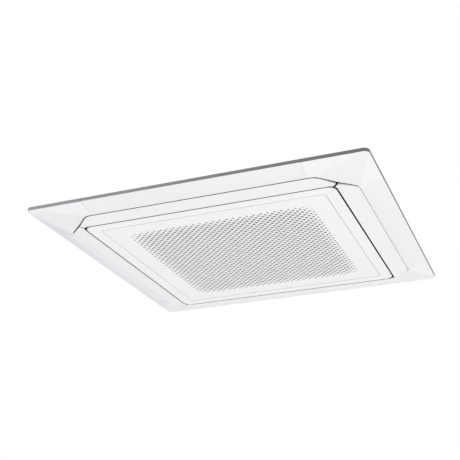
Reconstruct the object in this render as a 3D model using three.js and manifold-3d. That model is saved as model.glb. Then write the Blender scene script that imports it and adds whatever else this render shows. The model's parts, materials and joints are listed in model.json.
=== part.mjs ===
// Four-way ceiling cassette air conditioner: a square decoration panel under a
// concealed cabinet. Millimetres, +Z up. The origin is the centre of the panel in
// the plane of the ceiling, so the panel hangs below z = 0 and the cabinet is above.
import * as THREE from 'three';
import { mergeVertices } from 'three/addons/utils/BufferGeometryUtils.js';
import Module from 'manifold-3d';

// ---- Driving dimensions ----

// Decoration panel
const PANEL_HALF = 475;
const PANEL_CORNER_RADIUS = 15;
const RIM_HEIGHT = 9.5;
const SKIN = 2.5;
const MOUTH_HALF = 415.7;
const MOUTH_REACH = 739;
const MOUTH_FILLET = 32;
const MOUTH_Z = -25.5;
const SEAM = 305;
const TRAY_WALL_INNER = 417.5;
const TRAY_WALL_OUTER = 420;
const TRAY_REACH = 750;
const TRAY_THICKNESS = 3;
const TRAY_WALL_Z = -20.5;
const INTAKE_HALF = 349;
const INTAKE_RADIUS = 20;
const INTAKE_WALL_Z = -23;

// Air outlets, in line through the panel and the cabinet
const OUTLET_NEAR = 358;
const OUTLET_FAR = 404;
const OUTLET_HALF_LENGTH = 235;

// Vanes
const VANE_NEAR = 363;
const VANE_FAR = 412.7;
const VANE_REACH = 734.9;
const VANE_CORNER_RADIUS = 8;
const VANE_MITRE = 3.5;
const VANE_THICKNESS = 4;
const VANE_NEAR_Z = -32.2;
const VANE_FAR_Z = -26.1;
const PIVOT_REACH = 392;
const PIVOT_Z = -19.5;
const PIVOT_ARM = 300;
const ARM_THICKNESS = 4;
const ARM_FOOT_Z = -26;
const PIN_RADIUS = 2;
const BOSS_RADIUS = 4.5;
const MOTOR_Z = 16;
const MOTOR_RADIUS = 12;

// Intake grille and its filter
const GRILLE_HALF = 360;
const GRILLE_RADIUS = 24;
const GRILLE_Z = -32.2;
const GRILLE_RIM_Z = -26;
const GROOVE_HALF = 324;
const FIELD_HALF = 271;
const HOLE_CELLS = 12;
const HOLE_SIZE = 21;
const FADE_ROWS = 3;
const HINGE_Y = -354;
const HINGE_Z = -27;
const HINGE_X = 210;
const KNUCKLE_RADIUS = 4;
const HOOK_CLEARANCE = 351.2;
const LATCH_X = 286;
const LATCH_Y = 284;
const LATCH_RADIUS = 9;
const FILTER_HALF = 271;
const FILTER_Z = -26.9;
const FILTER_CELLS = 3;

// Cabinet
const CABINET_HALF = 420;
const CABINET_REACH = 668;
const CABINET_BOTTOM = 3;
const CABINET_TOP = 249;
const SHEET = 1.5;
const PAN_TOP = 54;
const TROUGH_Z = 33;
const SUMP_Z = 31;
const LINER = 12;
const COIL_HALF = 320;
const COIL_DEPTH = 44;
const COIL_RADIUS = 70;
const COIL_BOTTOM = 36;
const COIL_TOP = 230;
const COIL_SHORT = 22;
const HANGER_Z = 192;
const GAP = 0.3;

// Fan
const FAN_RADIUS = 240;
const FAN_INLET = 192;
const FAN_INLET_Z = 52;
const SHROUD_RISE = 46;
const HUB_Z = 197;
const BLADES = 7;
const BLADE_ROOT = 128;
const BLADE_LEAN = 0.9;
const EYE_Z = 68;
const SHROUD_WALL = 3.5;
const FOOT_DEPTH = 1.8;
const FAN_FACETS = 24;
const BOWL_Z = 118;
const BOWL_DEPTH = 77;
const MOUNT_Z = 226.5;
const MOUNT_THICKNESS = 3;

// Pipes, drain and wiring
const GAS_PIPE = { radius: 7.95, height: 150, shift: -14 };
const LIQUID_PIPE = { radius: 4.75, height: 112, shift: -14 };
const PIPE_WINDOW_Z = 131;
const DRAIN = { x: -231, z: 160, radius: 11 };
const PUMP = { x: -262, y: 290 };
const WIRE_INLET = { y: 200, z: 150, radius: 12 };

// ---- Solids ----

const wasm = await Module();
wasm.setup();

function solid(geometry) {
  const bare = geometry.clone();
  bare.deleteAttribute('normal');
  bare.deleteAttribute('uv');
  const merged = mergeVertices(bare, 1e-3);
  const position = merged.attributes.position;
  const corners = Array.from(merged.index.array);
  if (signedVolume(position, corners) < 0) corners.reverse();
  return new wasm.Manifold(new wasm.Mesh({
    numProp: 3,
    vertProperties: new Float32Array(position.array),
    triVerts: new Uint32Array(corners),
  }));
}

function signedVolume(position, corners) {
  const [a, b, c] = [new THREE.Vector3(), new THREE.Vector3(), new THREE.Vector3()];
  let volume = 0;
  for (let i = 0; i < corners.length; i += 3) {
    a.fromBufferAttribute(position, corners[i]);
    b.fromBufferAttribute(position, corners[i + 1]);
    c.fromBufferAttribute(position, corners[i + 2]);
    volume += a.dot(b.cross(c)) / 6;
  }
  return volume;
}

function geometryOf(body) {
  const mesh = body.getMesh();
  const geometry = new THREE.BufferGeometry();
  geometry.setAttribute('position', new THREE.BufferAttribute(new Float32Array(mesh.vertProperties), 3));
  geometry.setIndex(new THREE.BufferAttribute(new Uint32Array(mesh.triVerts), 1));
  return geometry;
}

const join = (bodies) => bodies.reduce((whole, body) => whole.add(body));
const cut = (body, tools) => tools.reduce((rest, tool) => rest.subtract(tool), body);

function box(x0, x1, y0, y1, z0, z1) {
  const geometry = new THREE.BoxGeometry(x1 - x0, y1 - y0, z1 - z0);
  return solid(geometry.translate((x0 + x1) / 2, (y0 + y1) / 2, (z0 + z1) / 2));
}

function extruded(loops, z0, z1) {
  const shapes = loops.map((loop) => new THREE.Shape(loop));
  const geometry = new THREE.ExtrudeGeometry(shapes, { depth: z1 - z0, bevelEnabled: false });
  return solid(geometry.translate(0, 0, z0));
}

// An upright prism over one outline. The holes go right through it.
function prism(loop, z0, z1, holes = []) {
  const slab = extruded([loop], z0, z1);
  return holes.length === 0 ? slab : slab.subtract(extruded(holes, z0 - 1, z1 + 1));
}

function cylinder(radius, length, sides, axis, centre) {
  const geometry = new THREE.CylinderGeometry(radius, radius, length, sides);
  if (axis === 'x') geometry.rotateZ(Math.PI / 2);
  if (axis === 'z') geometry.rotateX(Math.PI / 2);
  return solid(geometry.translate(...centre));
}

// A turned body about +Z. The profile is a closed loop of [radius, height] pairs.
function turned(profile, segments) {
  const points = [...profile, profile[0]].map(([r, z]) => new THREE.Vector2(r, z));
  return solid(new THREE.LatheGeometry(points, segments).rotateX(Math.PI / 2));
}

function tube(points, radius, sides, steps) {
  const section = new THREE.Shape(circle(0, 0, radius, sides));
  const stops = points.map((point) => new THREE.Vector3(...point));
  const path = new THREE.CatmullRomCurve3(stops, false, 'centripetal');
  return solid(new THREE.ExtrudeGeometry(section, { steps, extrudePath: path, bevelEnabled: false }));
}

// ---- Outlines ----

function circle(x, y, radius, sides) {
  const loop = [];
  for (let i = 0; i < sides; i += 1) {
    const angle = (2 * Math.PI * i) / sides;
    loop.push(new THREE.Vector2(x + radius * Math.cos(angle), y + radius * Math.sin(angle)));
  }
  return loop;
}

function rectangle(x0, x1, y0, y1) {
  return [[x0, y0], [x1, y0], [x1, y1], [x0, y1]].map(([x, y]) => new THREE.Vector2(x, y));
}

// Every corner of a polygon is rounded by an arc of the given radius and steps.
function filleted(corners, radius, steps) {
  const loop = [];
  corners.forEach((corner, i) => {
    const before = corners[(i + corners.length - 1) % corners.length].clone().sub(corner).normalize();
    const after = corners[(i + 1) % corners.length].clone().sub(corner).normalize();
    const halfAngle = Math.acos(before.dot(after)) / 2;
    const bisector = before.clone().add(after).normalize();
    const centre = bisector.multiplyScalar(radius / Math.sin(halfAngle)).add(corner);
    const start = before.multiplyScalar(radius / Math.tan(halfAngle)).add(corner);
    const turn = Math.PI - 2 * halfAngle;
    for (let step = 0; step <= steps; step += 1) {
      loop.push(start.clone().rotateAround(centre, (turn * step) / steps));
    }
  });
  return loop;
}

function quarterTurns(points) {
  const loop = [];
  for (let quarter = 0; quarter < 4; quarter += 1) {
    for (const [x, y] of points) {
      loop.push(new THREE.Vector2(x, y).rotateAround(new THREE.Vector2(), (quarter * Math.PI) / 2));
    }
  }
  return loop;
}

const roundSquare = (half, radius, steps) => filleted(quarterTurns([[half, half]]), radius, steps);

// A square whose corners are cut off where |x| + |y| passes the reach.
const cutSquare = (half, reach) => quarterTurns([[half, reach - half], [reach - half, half]]);
const roundCutSquare = (half, reach, radius, steps) => filleted(cutSquare(half, reach), radius, steps);

// A ring through closed loops at their own heights, the last joined to the first.
function ringLoft(loops) {
  const count = loops[0].loop.length;
  const positions = [];
  const index = [];
  for (const { loop, z } of loops) {
    for (const point of loop) positions.push(point.x, point.y, z);
  }
  for (let ring = 0; ring < loops.length; ring += 1) {
    const next = (ring + 1) % loops.length;
    for (let i = 0; i < count; i += 1) {
      const j = (i + 1) % count;
      const [a, b] = [ring * count + i, ring * count + j];
      const [c, d] = [next * count + j, next * count + i];
      index.push(a, b, c, a, c, d);
    }
  }
  const geometry = new THREE.BufferGeometry();
  geometry.setAttribute('position', new THREE.Float32BufferAttribute(positions, 3));
  geometry.setIndex(index);
  return solid(geometry);
}

// A copy of a body, turned by any number of quarter turns about +Z.
const quarterTurned = (body, turns) => solid(geometryOf(body).rotateZ((turns * Math.PI) / 2));

// ---- Materials ----

function finish(color, roughness, metalness = 0) {
  return new THREE.MeshStandardMaterial({ color, roughness, metalness });
}

const WHITE = () => finish(0xefeff1, 0.42);
const VANE_WHITE = () => finish(0xf0f0f2, 0.38);
const FOAM = () => finish(0xe6e7e6, 0.85);
const STEEL = () => finish(0xb4b8ba, 0.4, 0.85);
const DARK = () => finish(0x3a3c3f, 0.6);
const FAN_GREY = () => finish(0xc4c8ca, 0.5);
const FINS = () => finish(0xc9ced2, 0.35, 0.8);
const COPPER = () => finish(0xb87348, 0.3, 0.9);
const BRASS = () => finish(0xc8a452, 0.35, 0.9);

function part(name, body, material) {
  const mesh = new THREE.Mesh(geometryOf(body), material);
  mesh.name = name;
  return mesh;
}

// ---- Decoration panel ----

function rimLoop(inset, z) {
  return { loop: roundSquare(PANEL_HALF - inset, PANEL_CORNER_RADIUS - inset, 5), z };
}

function mouthLoop(outset, z) {
  const loop = roundCutSquare(MOUTH_HALF + outset, MOUTH_REACH + outset * Math.SQRT2, MOUTH_FILLET, 2);
  return { loop, z };
}

// The sloping border: an upright rim, a 15 degree skirt and the lip of the mouth.
function borderSkin() {
  return ringLoft([
    rimLoop(0, 0),
    rimLoop(0, -RIM_HEIGHT),
    mouthLoop(0, MOUTH_Z),
    mouthLoop(0, MOUTH_Z + SKIN),
    rimLoop(SKIN, -RIM_HEIGHT + SKIN),
    rimLoop(SKIN, 0),
  ]);
}

function cornerBlock(quarter, seam) {
  const block = box(seam, PANEL_HALF + 5, seam, PANEL_HALF + 5, -40, 5);
  return quarterTurned(block, quarter);
}

function cornerCover(skin, quarter) {
  return skin.intersect(cornerBlock(quarter, SEAM + GAP / 2));
}

const QUARTERS = [0, 1, 2, 3];

function outletHoles(near, far, halfLength) {
  return quarterTurns([[near, -halfLength], [far, -halfLength], [far, halfLength], [near, halfLength]])
    .reduce((holes, point, i) => {
      if (i % 4 === 0) holes.push([]);
      holes.at(-1).push(point);
      return holes;
    }, []);
}

// Room in the tray for the gear case of a vane drive.
const motorHole = rectangle(PIVOT_ARM + 3.5, PIVOT_ARM + 14, -PIVOT_REACH - 9, -PIVOT_REACH + 9);

// The hidden tray over the vanes: outlet slots in its plate, walls down both edges.
function vaneTray() {
  const wallReach = TRAY_REACH + (TRAY_WALL_OUTER - TRAY_WALL_INNER) * Math.SQRT2;
  const outer = cutSquare(TRAY_WALL_OUTER, wallReach);
  const inner = cutSquare(TRAY_WALL_INNER, TRAY_REACH);
  const intake = roundSquare(INTAKE_HALF, INTAKE_RADIUS, 3);
  const outlets = outletHoles(OUTLET_NEAR, OUTLET_FAR, OUTLET_HALF_LENGTH);
  const plate = prism(outer, -TRAY_THICKNESS, 0, [intake, ...outlets]);
  const wall = prism(outer, TRAY_WALL_Z, -1, [inner]);
  const intakeOuter = roundSquare(INTAKE_HALF + SKIN, INTAKE_RADIUS + SKIN, 3);
  const intakeWall = prism(intakeOuter, INTAKE_WALL_Z, -1, [intake]);
  const [near, far] = [-MOUTH_HALF - 1, -TRAY_WALL_OUTER];
  const strip = box(-SEAM + GAP, SEAM - GAP, far, near, MOUTH_Z + 1.5, TRAY_WALL_Z + 1.5);
  const strips = QUARTERS.map((quarter) => quarterTurned(strip, quarter));
  const slot = prism(motorHole, -TRAY_THICKNESS - 1, 1);
  const slots = QUARTERS.map((quarter) => quarterTurned(slot, quarter));
  return cut(join([plate, wall, intakeWall, ...strips]), slots);
}

function makePanel() {
  const panel = new THREE.Group();
  const skin = borderSkin();
  const sides = cut(skin, QUARTERS.map((quarter) => cornerBlock(quarter, SEAM - GAP / 2)));
  panel.add(part('panel_frame', sides.add(vaneTray()), WHITE()));
  for (const quarter of QUARTERS) {
    panel.add(part(`corner_cover_${quarter + 1}`, cornerCover(skin, quarter), WHITE()));
  }
  return panel;
}

// ---- Vanes, their bearings and drives ----

// Shear in Z: the vane falls from its outer edge to its inner edge.
function sloped(body) {
  const geometry = geometryOf(body);
  const position = geometry.attributes.position;
  const slope = (VANE_NEAR_Z - VANE_FAR_Z) / (VANE_FAR - VANE_NEAR);
  for (let i = 0; i < position.count; i += 1) {
    const inward = VANE_FAR + position.getY(i);
    position.setZ(i, position.getZ(i) + VANE_FAR_Z + slope * inward);
  }
  return solid(geometry);
}

// A plate from x0 to x1 that hangs or stands on the pivot axis, rounded off round it.
function pivotPlate(x0, x1, z0, z1) {
  const plate = box(x0, x1, -PIVOT_REACH - BOSS_RADIUS, -PIVOT_REACH + BOSS_RADIUS, z0, z1);
  return plate.add(pivotCylinder(BOSS_RADIUS, x0, x1));
}

function pivotCylinder(radius, x0, x1) {
  return cylinder(radius, x1 - x0, 8, 'x', [(x0 + x1) / 2, -PIVOT_REACH, PIVOT_Z]);
}

function pivotArm(side) {
  const x = side * PIVOT_ARM;
  const lug = pivotPlate(x - ARM_THICKNESS / 2, x + ARM_THICKNESS / 2, ARM_FOOT_Z, PIVOT_Z);
  const pinEnd = x + side * 10.5;
  return lug.add(pivotCylinder(PIN_RADIUS, Math.min(x, pinEnd), Math.max(x, pinEnd)));
}

// One vane on the -Y side: mitred ends, a cut outer corner and a pivot arm at each end.
function vane() {
  const outline = roundCutSquare(VANE_FAR, VANE_REACH, MOUTH_FILLET, 2);
  const ring = prism(outline, 0, VANE_THICKNESS, [roundSquare(VANE_NEAR, VANE_CORNER_RADIUS, 2)]);
  const far = PANEL_HALF;
  const wedge = [[0, -VANE_MITRE], [-far, -far - VANE_MITRE], [far, -far - VANE_MITRE]];
  const sector = prism(wedge.map(([x, y]) => new THREE.Vector2(x, y)), -1, VANE_THICKNESS + 1);
  const rib = box(-PIVOT_ARM + 8, PIVOT_ARM - 8, -374, -372.4, VANE_THICKNESS - 1, VANE_THICKNESS + 3);
  const blade = sloped(ring.intersect(sector).add(rib));
  return join([blade, pivotArm(-1), pivotArm(1)]);
}

function pivotBearing() {
  const [x0, x1] = [-PIVOT_ARM - 10.5, -PIVOT_ARM - 3.5];
  const post = pivotPlate(x0, x1, PIVOT_Z, -TRAY_THICKNESS - GAP);
  return post.subtract(pivotCylinder(PIN_RADIUS + GAP, x0 - 1, x1 + 1));
}

// A geared stepper drive: the can stands on the tray, the gear case reaches the pivot.
function vaneDrive() {
  const [x0, x1] = [PIVOT_ARM + 4, PIVOT_ARM + 13];
  const canEnd = x1 + 20;
  const gearCase = box(x0, x1, -PIVOT_REACH - 8, -PIVOT_REACH + 8, PIVOT_Z + 8, MOTOR_Z);
  const throat = pivotPlate(x0, x1, PIVOT_Z, PIVOT_Z + 11);
  const middle = [(x0 + canEnd) / 2, -PIVOT_REACH, MOTOR_Z];
  const can = cylinder(MOTOR_RADIUS, canEnd - x0, 12, 'x', middle);
  const bore = pivotCylinder(PIN_RADIUS + GAP, x0 - 1, PIVOT_ARM + 11);
  return cut(join([gearCase, throat, can]), [bore]);
}

function makeVanes() {
  const vanes = new THREE.Group();
  for (const quarter of QUARTERS) {
    const side = new THREE.Group();
    side.rotation.z = (quarter * Math.PI) / 2;
    side.add(part(`vane_${quarter + 1}`, vane(), VANE_WHITE()));
    side.add(part(`vane_bearing_${quarter + 1}`, pivotBearing(), DARK()));
    side.add(part(`vane_motor_${quarter + 1}`, vaneDrive(), DARK()));
    vanes.add(side);
  }
  return vanes;
}

// ---- Intake grille ----

const grilleLoop = (inset, z) => ({ loop: roundSquare(GRILLE_HALF - inset, GRILLE_RADIUS - inset, 3), z });

function hingeKnuckle(x) {
  const plate = box(x - 4, x + 4, HINGE_Y, HINGE_Y + 9, GRILLE_Z + 1, HINGE_Z);
  const ring = cylinder(KNUCKLE_RADIUS, 8, 12, 'x', [x, HINGE_Y, HINGE_Z]);
  return join([plate, ring]);
}

// The outer frame: a drafted rim, a flat skin and a ledge over the perforated plate.
function grilleFrame() {
  const skinTop = GRILLE_Z + SKIN;
  const rim = ringLoft([
    grilleLoop(1.2, GRILLE_Z),
    grilleLoop(0, GRILLE_Z + 1.2),
    grilleLoop(0, skinTop),
    grilleLoop(3, GRILLE_RIM_Z),
    grilleLoop(5.5, GRILLE_RIM_Z),
    grilleLoop(5.5, skinTop),
    { loop: roundSquare(GROOVE_HALF + GAP, 10, 3), z: skinTop },
    { loop: roundSquare(GROOVE_HALF + GAP, 10, 3), z: GRILLE_Z },
  ]);
  const ledgeOuter = roundSquare(GROOVE_HALF + 7, 14, 2);
  const ledge = prism(ledgeOuter, skinTop + GAP, skinTop + 2.5, [roundSquare(GROOVE_HALF - 10, 4, 2)]);
  const step = prism(ledgeOuter, skinTop - 1, skinTop + 1, [roundSquare(GROOVE_HALF + 2, 12, 2)]);
  const notches = [-1, 1].map((side) => {
    const x = side * HINGE_X;
    return box(x - 14, x + 14, -GRILLE_HALF - 1, HINGE_Y + 6, skinTop, 0);
  });
  const knuckles = [-HINGE_X, HINGE_X].map(hingeKnuckle);
  const bore = cylinder(PIN_RADIUS + GAP, 3 * HINGE_X, 12, 'x', [0, HINGE_Y, HINGE_Z]);
  return join([cut(join([rim, ledge, step]), notches), cut(join(knuckles), [bore])]);
}

// Diamond holes in staggered rows. They shrink over the outer rows of the field.
function perforations() {
  const step = FIELD_HALF / HOLE_CELLS * 2;
  const half = HOLE_CELLS / 2;
  const holes = [];
  for (let i = -half; i <= half; i += 1) {
    for (let j = -half; j <= half; j += 1) {
      const fromEdge = half - Math.max(Math.abs(i), Math.abs(j));
      const corner = Math.abs(i) + Math.abs(j) > 2 * half - 2;
      if ((i + j) % 2 !== 0 || corner) continue;
      const size = HOLE_SIZE * Math.min(1, 0.5 + (0.5 * (fromEdge + 0.5)) / FADE_ROWS);
      holes.push(circle(i * step * 0.97, j * step * 0.97, size, 4));
    }
  }
  return holes;
}

function grillePanel() {
  const latchSeats = [-LATCH_X, LATCH_X].map((x) => circle(x, LATCH_Y, LATCH_RADIUS + GAP, 24));
  const outline = roundSquare(GROOVE_HALF - GAP, 9.5, 3);
  return prism(outline, GRILLE_Z, GRILLE_Z + SKIN, [...perforations(), ...latchSeats]);
}

// A push button with a retaining flange behind the plate and a stem for the catch.
function latchButton() {
  const back = GRILLE_Z + SKIN;
  return turned([[0, GRILLE_Z], [LATCH_RADIUS - 0.6, GRILLE_Z], [LATCH_RADIUS, GRILLE_Z + 0.6],
    [LATCH_RADIUS, back + GAP], [LATCH_RADIUS + 3, back + GAP], [LATCH_RADIUS + 3, back + 2],
    [2.8, back + 2], [2.8, back + 11], [1.5, back + 13], [0, back + 13]], 14);
}

function latchCatch() {
  const stemTop = GRILLE_Z + SKIN + 9;
  const socket = turned([[3.6, stemTop], [9, stemTop], [9, CABINET_BOTTOM - GAP], [0, CABINET_BOTTOM - GAP],
    [0, -8], [6, -8], [6, stemTop + 4], [3.6, stemTop + 2]], 12);
  const foot = box(-14, 14, -14, 14, 0, CABINET_BOTTOM - GAP);
  return socket.add(foot);
}

// The hook on the panel that carries one knuckle: a lug beside it and a pin through it.
function grilleHinge(side) {
  const x = side * HINGE_X;
  const [back, front] = [-HOOK_CLEARANCE - GAP, -INTAKE_HALF + 4];
  const lug = [[back, -8], [back, -20], [HINGE_Y - 2.3, HINGE_Z + 0.5], [HINGE_Y - 1.2, HINGE_Z - 2],
    [HINGE_Y + 1.2, HINGE_Z - 2], [HINGE_Y + 2.3, HINGE_Z], [front, -21.5], [front, -8]];
  const outline = new THREE.Shape(lug.map(([y, z]) => new THREE.Vector2(y, z)));
  const plate = new THREE.ExtrudeGeometry(outline, { depth: 3, bevelEnabled: false });
  plate.applyMatrix4(new THREE.Matrix4().set(0, 0, 1, 0, 1, 0, 0, 0, 0, 1, 0, 0, 0, 0, 0, 1));
  const cheek = solid(plate.translate(x + (side > 0 ? 5 : -8), 0, 0));
  const pin = cylinder(PIN_RADIUS, 9.5, 12, 'x', [x + side * 2, HINGE_Y, HINGE_Z]);
  const wall = box(x - 12, x + 12, -352, -348.7, INTAKE_WALL_Z - 1, 0);
  const clear = cut(cheek, [wall]);
  const foot = box(x - 8, x + 8, -348.7, -345, -20, -8);
  return join([clear, pin, foot]);
}

// A lift-out grid with a bed for the net under its ribs and two clips on each side.
function filterFrame() {
  const [low, high] = [FILTER_Z, -18];
  const outer = roundSquare(FILTER_HALF, 10, 2);
  const opening = 2 * FILTER_HALF - 16;
  const rib = 3;
  const cell = (opening - (FILTER_CELLS - 1) * rib) / FILTER_CELLS;
  const windows = [];
  for (let i = 0; i < FILTER_CELLS; i += 1) {
    for (let j = 0; j < FILTER_CELLS; j += 1) {
      const x = -opening / 2 + i * (cell + rib);
      const y = -opening / 2 + j * (cell + rib);
      windows.push(box(x, x + cell, y, y + cell, low - 1, high + 1));
    }
  }
  const grid = cut(prism(outer, low, high), windows);
  const half = opening / 2;
  const meshBed = prism(rectangle(-half, half, -half, half), low - 1, low + 1.5);
  const tab = box(-170, -130, -320, -265, low, low + 2).add(box(130, 170, -320, -265, low, low + 2));
  return join([cut(grid, [meshBed]), tab, quarterTurned(tab, 2)]);
}

function filterMesh() {
  const half = FILTER_HALF - 8 - GAP;
  return prism(rectangle(-half, half, -half, half), FILTER_Z + GAP, FILTER_Z + 1.2);
}

function makeGrille() {
  const grille = new THREE.Group();
  grille.add(part('grille_frame', grilleFrame(), WHITE()));
  grille.add(part('grille_panel', grillePanel(), WHITE()));
  for (const [name, side] of [['left', -1], ['right', 1]]) {
    const button = part(`grille_latch_${name}`, latchButton(), WHITE());
    button.position.set(side * LATCH_X, LATCH_Y, 0);
    const socket = part(`latch_catch_${name}`, latchCatch(), WHITE());
    socket.position.copy(button.position);
    grille.add(button, socket);
    grille.add(part(`grille_hinge_${name}`, grilleHinge(side), WHITE()));
  }
  grille.add(part('filter_frame', filterFrame(), finish(0xd9dcdc, 0.6)));
  grille.add(part('filter_mesh', filterMesh(), finish(0x8d9196, 0.8)));
  return grille;
}

// ---- Fan, motor and bell mouth ----

function arcProfile(steps, at) {
  const profile = [];
  for (let i = 0; i <= steps; i += 1) profile.push(at((i * Math.PI) / 2 / steps));
  return profile;
}

const shroudCurve = (lift) => (angle) => [
  FAN_RADIUS - (FAN_RADIUS - FAN_INLET - lift) * Math.cos(angle),
  FAN_INLET_Z + (SHROUD_RISE - lift) * Math.sin(angle),
];

const bowlCurve = (lift) => (angle) => [
  20 + (80 - lift) * Math.sin(angle),
  BOWL_Z + lift + (BOWL_DEPTH - lift) * (1 - Math.cos(angle)),
];

// The lower edge of a blade: it rises from the hub side, then follows the shroud.
function bladeFoot(radius) {
  const inlet = shroudCurve(FOOT_DEPTH)(0)[0];
  if (radius < inlet) return THREE.MathUtils.mapLinear(radius, BLADE_ROOT, inlet, 146, EYE_Z);
  const angle = Math.acos(Math.min(1, (FAN_RADIUS - radius) / (FAN_RADIUS - inlet)));
  return Math.max(EYE_Z, FAN_INLET_Z + (SHROUD_RISE - FOOT_DEPTH) * Math.sin(angle));
}

// A blade leans back as its radius grows. Its outline is extruded, then its foot is shaped.
function fanBlade() {
  const tip = FAN_RADIUS - 3;
  const edge = (thickness) => (t) => {
    const radius = BLADE_ROOT + t * (tip - BLADE_ROOT);
    const lean = BLADE_LEAN * t * (1.3 - 0.3 * t);
    const swell = (thickness * Math.sin(Math.PI * (0.1 + 0.8 * t))) / radius;
    return new THREE.Vector2(radius, 0).rotateAround(new THREE.Vector2(), lean + swell);
  };
  const steps = [0, 0.25, 0.5, 0.63, 0.75, 0.88, 1];
  const outline = [...steps.map(edge(-3.5)), ...steps.toReversed().map(edge(3.5))];
  const geometry = geometryOf(extruded([outline], 0, 1));
  const position = geometry.attributes.position;
  for (let i = 0; i < position.count; i += 1) {
    const foot = bladeFoot(Math.hypot(position.getX(i), position.getY(i)));
    position.setZ(i, position.getZ(i) > 0.5 ? HUB_Z + 1.3 : foot);
  }
  return geometry;
}

// A backward-leaning centrifugal wheel: hub plate with a bowl, blades and a shroud.
function turboFan() {
  const outside = arcProfile(4, shroudCurve(0));
  const inside = arcProfile(4, shroudCurve(SHROUD_WALL)).toReversed();
  const shroud = turned([...outside, ...inside], FAN_FACETS);
  const bowl = arcProfile(4, bowlCurve(0));
  const dish = arcProfile(4, bowlCurve(2.6)).toReversed();
  const hub = turned([[6.4, 112], [16, 112], ...bowl, [FAN_RADIUS, HUB_Z], [FAN_RADIUS, HUB_Z + 2.6],
    [97, HUB_Z + 2.6], ...dish, [16, 136], [6.4, 136]], FAN_FACETS);
  const blades = [];
  for (let i = 0; i < BLADES; i += 1) blades.push(solid(fanBlade().rotateZ((2 * Math.PI * i) / BLADES)));
  return join([shroud, hub, ...blades]);
}

function bellMouth() {
  const curve = (lift) => (angle) => [
    232 - (45 - lift) * Math.sin(angle),
    GAP + lift + (56 - lift) * (1 - Math.cos(angle)),
  ];
  const wall = 2.4;
  const inside = arcProfile(4, curve(0));
  const outside = arcProfile(4, curve(wall)).toReversed();
  return turned([[FAN_RADIUS, GAP], ...inside, ...outside, [FAN_RADIUS, GAP + wall]], FAN_FACETS);
}

function fanMotor() {
  const top = MOUNT_Z - 0.5;
  const face = [[6.8, 147], [40, 145], [66, 150], [70, 158]];
  return turned([...face, [70, 214], [62, 224], [30, top], [6.8, top]], 16);
}

function motorMount() {
  const top = MOUNT_Z + MOUNT_THICKNESS;
  const ring = turned([[10, MOUNT_Z], [58, MOUNT_Z], [58, top], [10, top]], 16);
  const arms = QUARTERS.map((quarter) => {
    const arm = box(48, 92, -9, 9, MOUNT_Z, top).add(cylinder(8, 18, 8, 'z', [84, 0, 237]));
    return quarterTurned(arm, quarter + 0.5);
  });
  return join([ring, ...arms]);
}

function makeFan() {
  const fan = new THREE.Group();
  fan.add(part('turbo_fan', turboFan(), FAN_GREY()));
  fan.add(part('motor_shaft', turned([[0, 104], [6, 104], [6, 218], [0, 218]], 16), STEEL()));
  fan.add(part('fan_nut', prism(circle(0, 0, 12, 6), 105, 111.6, [circle(0, 0, 6.4, 16)]), STEEL()));
  fan.add(part('fan_motor', fanMotor(), STEEL()));
  fan.add(part('motor_mount', motorMount(), STEEL()));
  fan.add(part('bell_mouth', bellMouth(), FAN_GREY()));
  return fan;
}

// ---- Heat exchanger ----

// The coil is bent round the fan and stops short of the corner at -X, +Y.
function coilOutline() {
  const side = COIL_HALF - COIL_RADIUS;
  const teeth = 8;
  const reach = COIL_DEPTH / 2;
  const path = [];
  for (let quarter = 0; quarter < 4; quarter += 1) {
    const turn = (quarter * Math.PI) / 2;
    const start = quarter === 0 ? -side + COIL_SHORT : -side;
    const end = quarter === 3 ? side - COIL_SHORT : side;
    for (let i = 0; i < teeth * 2; i += 1) {
      const along = start + ((end - start) * i) / (teeth * 2 - 1);
      path.push({ turn, x: COIL_HALF, y: along, nx: 1, ny: 0, dip: i % 4 > 1 ? 3 : 0 });
    }
    if (quarter === 3) continue;
    for (let i = 1; i < 4; i += 1) {
      const angle = (i * Math.PI) / 8;
      const [nx, ny] = [Math.cos(angle), Math.sin(angle)];
      path.push({ turn, x: side + COIL_RADIUS * nx, y: side + COIL_RADIUS * ny, nx, ny, dip: 0 });
    }
  }
  const offset = (point, sign) => {
    const reachHere = sign * (reach - point.dip);
    const place = new THREE.Vector2(point.x + point.nx * reachHere, point.y + point.ny * reachHere);
    return place.rotateAround(new THREE.Vector2(), point.turn + Math.PI);
  };
  return [...path.map((point) => offset(point, 1)), ...path.toReversed().map((point) => offset(point, -1))];
}

// U bends that stand out of an end plate, one above the other.
function returnBends(alongX) {
  const bends = [];
  const end = COIL_HALF - COIL_RADIUS - COIL_SHORT + 1.5;
  for (let i = 0; i < 4; i += 1) {
    const z = COIL_BOTTOM + 24 + i * 46;
    const path = [[0, z], [6, z], [13, z + 5], [16, z + 12], [13, z + 19], [6, z + 24], [0, z + 24]];
    const place = ([out, height]) => (
      alongX ? [-end - out, COIL_HALF, height] : [-COIL_HALF, end + out, height]
    );
    bends.push(tube(path.map(place), 4.5, 5, 5));
  }
  return join(bends);
}

function makeCoil() {
  const coil = new THREE.Group();
  coil.add(part('heat_exchanger', prism(coilOutline(), COIL_BOTTOM, COIL_TOP), FINS()));
  const end = COIL_HALF - COIL_RADIUS - COIL_SHORT + GAP;
  const [near, far] = [COIL_HALF - COIL_DEPTH / 2 - 2, COIL_HALF + COIL_DEPTH / 2 + 2];
  const plateX = box(-end - 2.5, -end, near, far, COIL_BOTTOM, COIL_TOP);
  const plateY = box(-far, -near, end, end + 2.5, COIL_BOTTOM, COIL_TOP);
  coil.add(part('coil_end_1', plateX.add(returnBends(true)), COPPER()));
  coil.add(part('coil_end_2', plateY.add(returnBends(false)), COPPER()));
  return coil;
}

// ---- Cabinet ----

const octagon = (inset) => cutSquare(CABINET_HALF - inset, CABINET_REACH - inset * Math.SQRT2);

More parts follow.
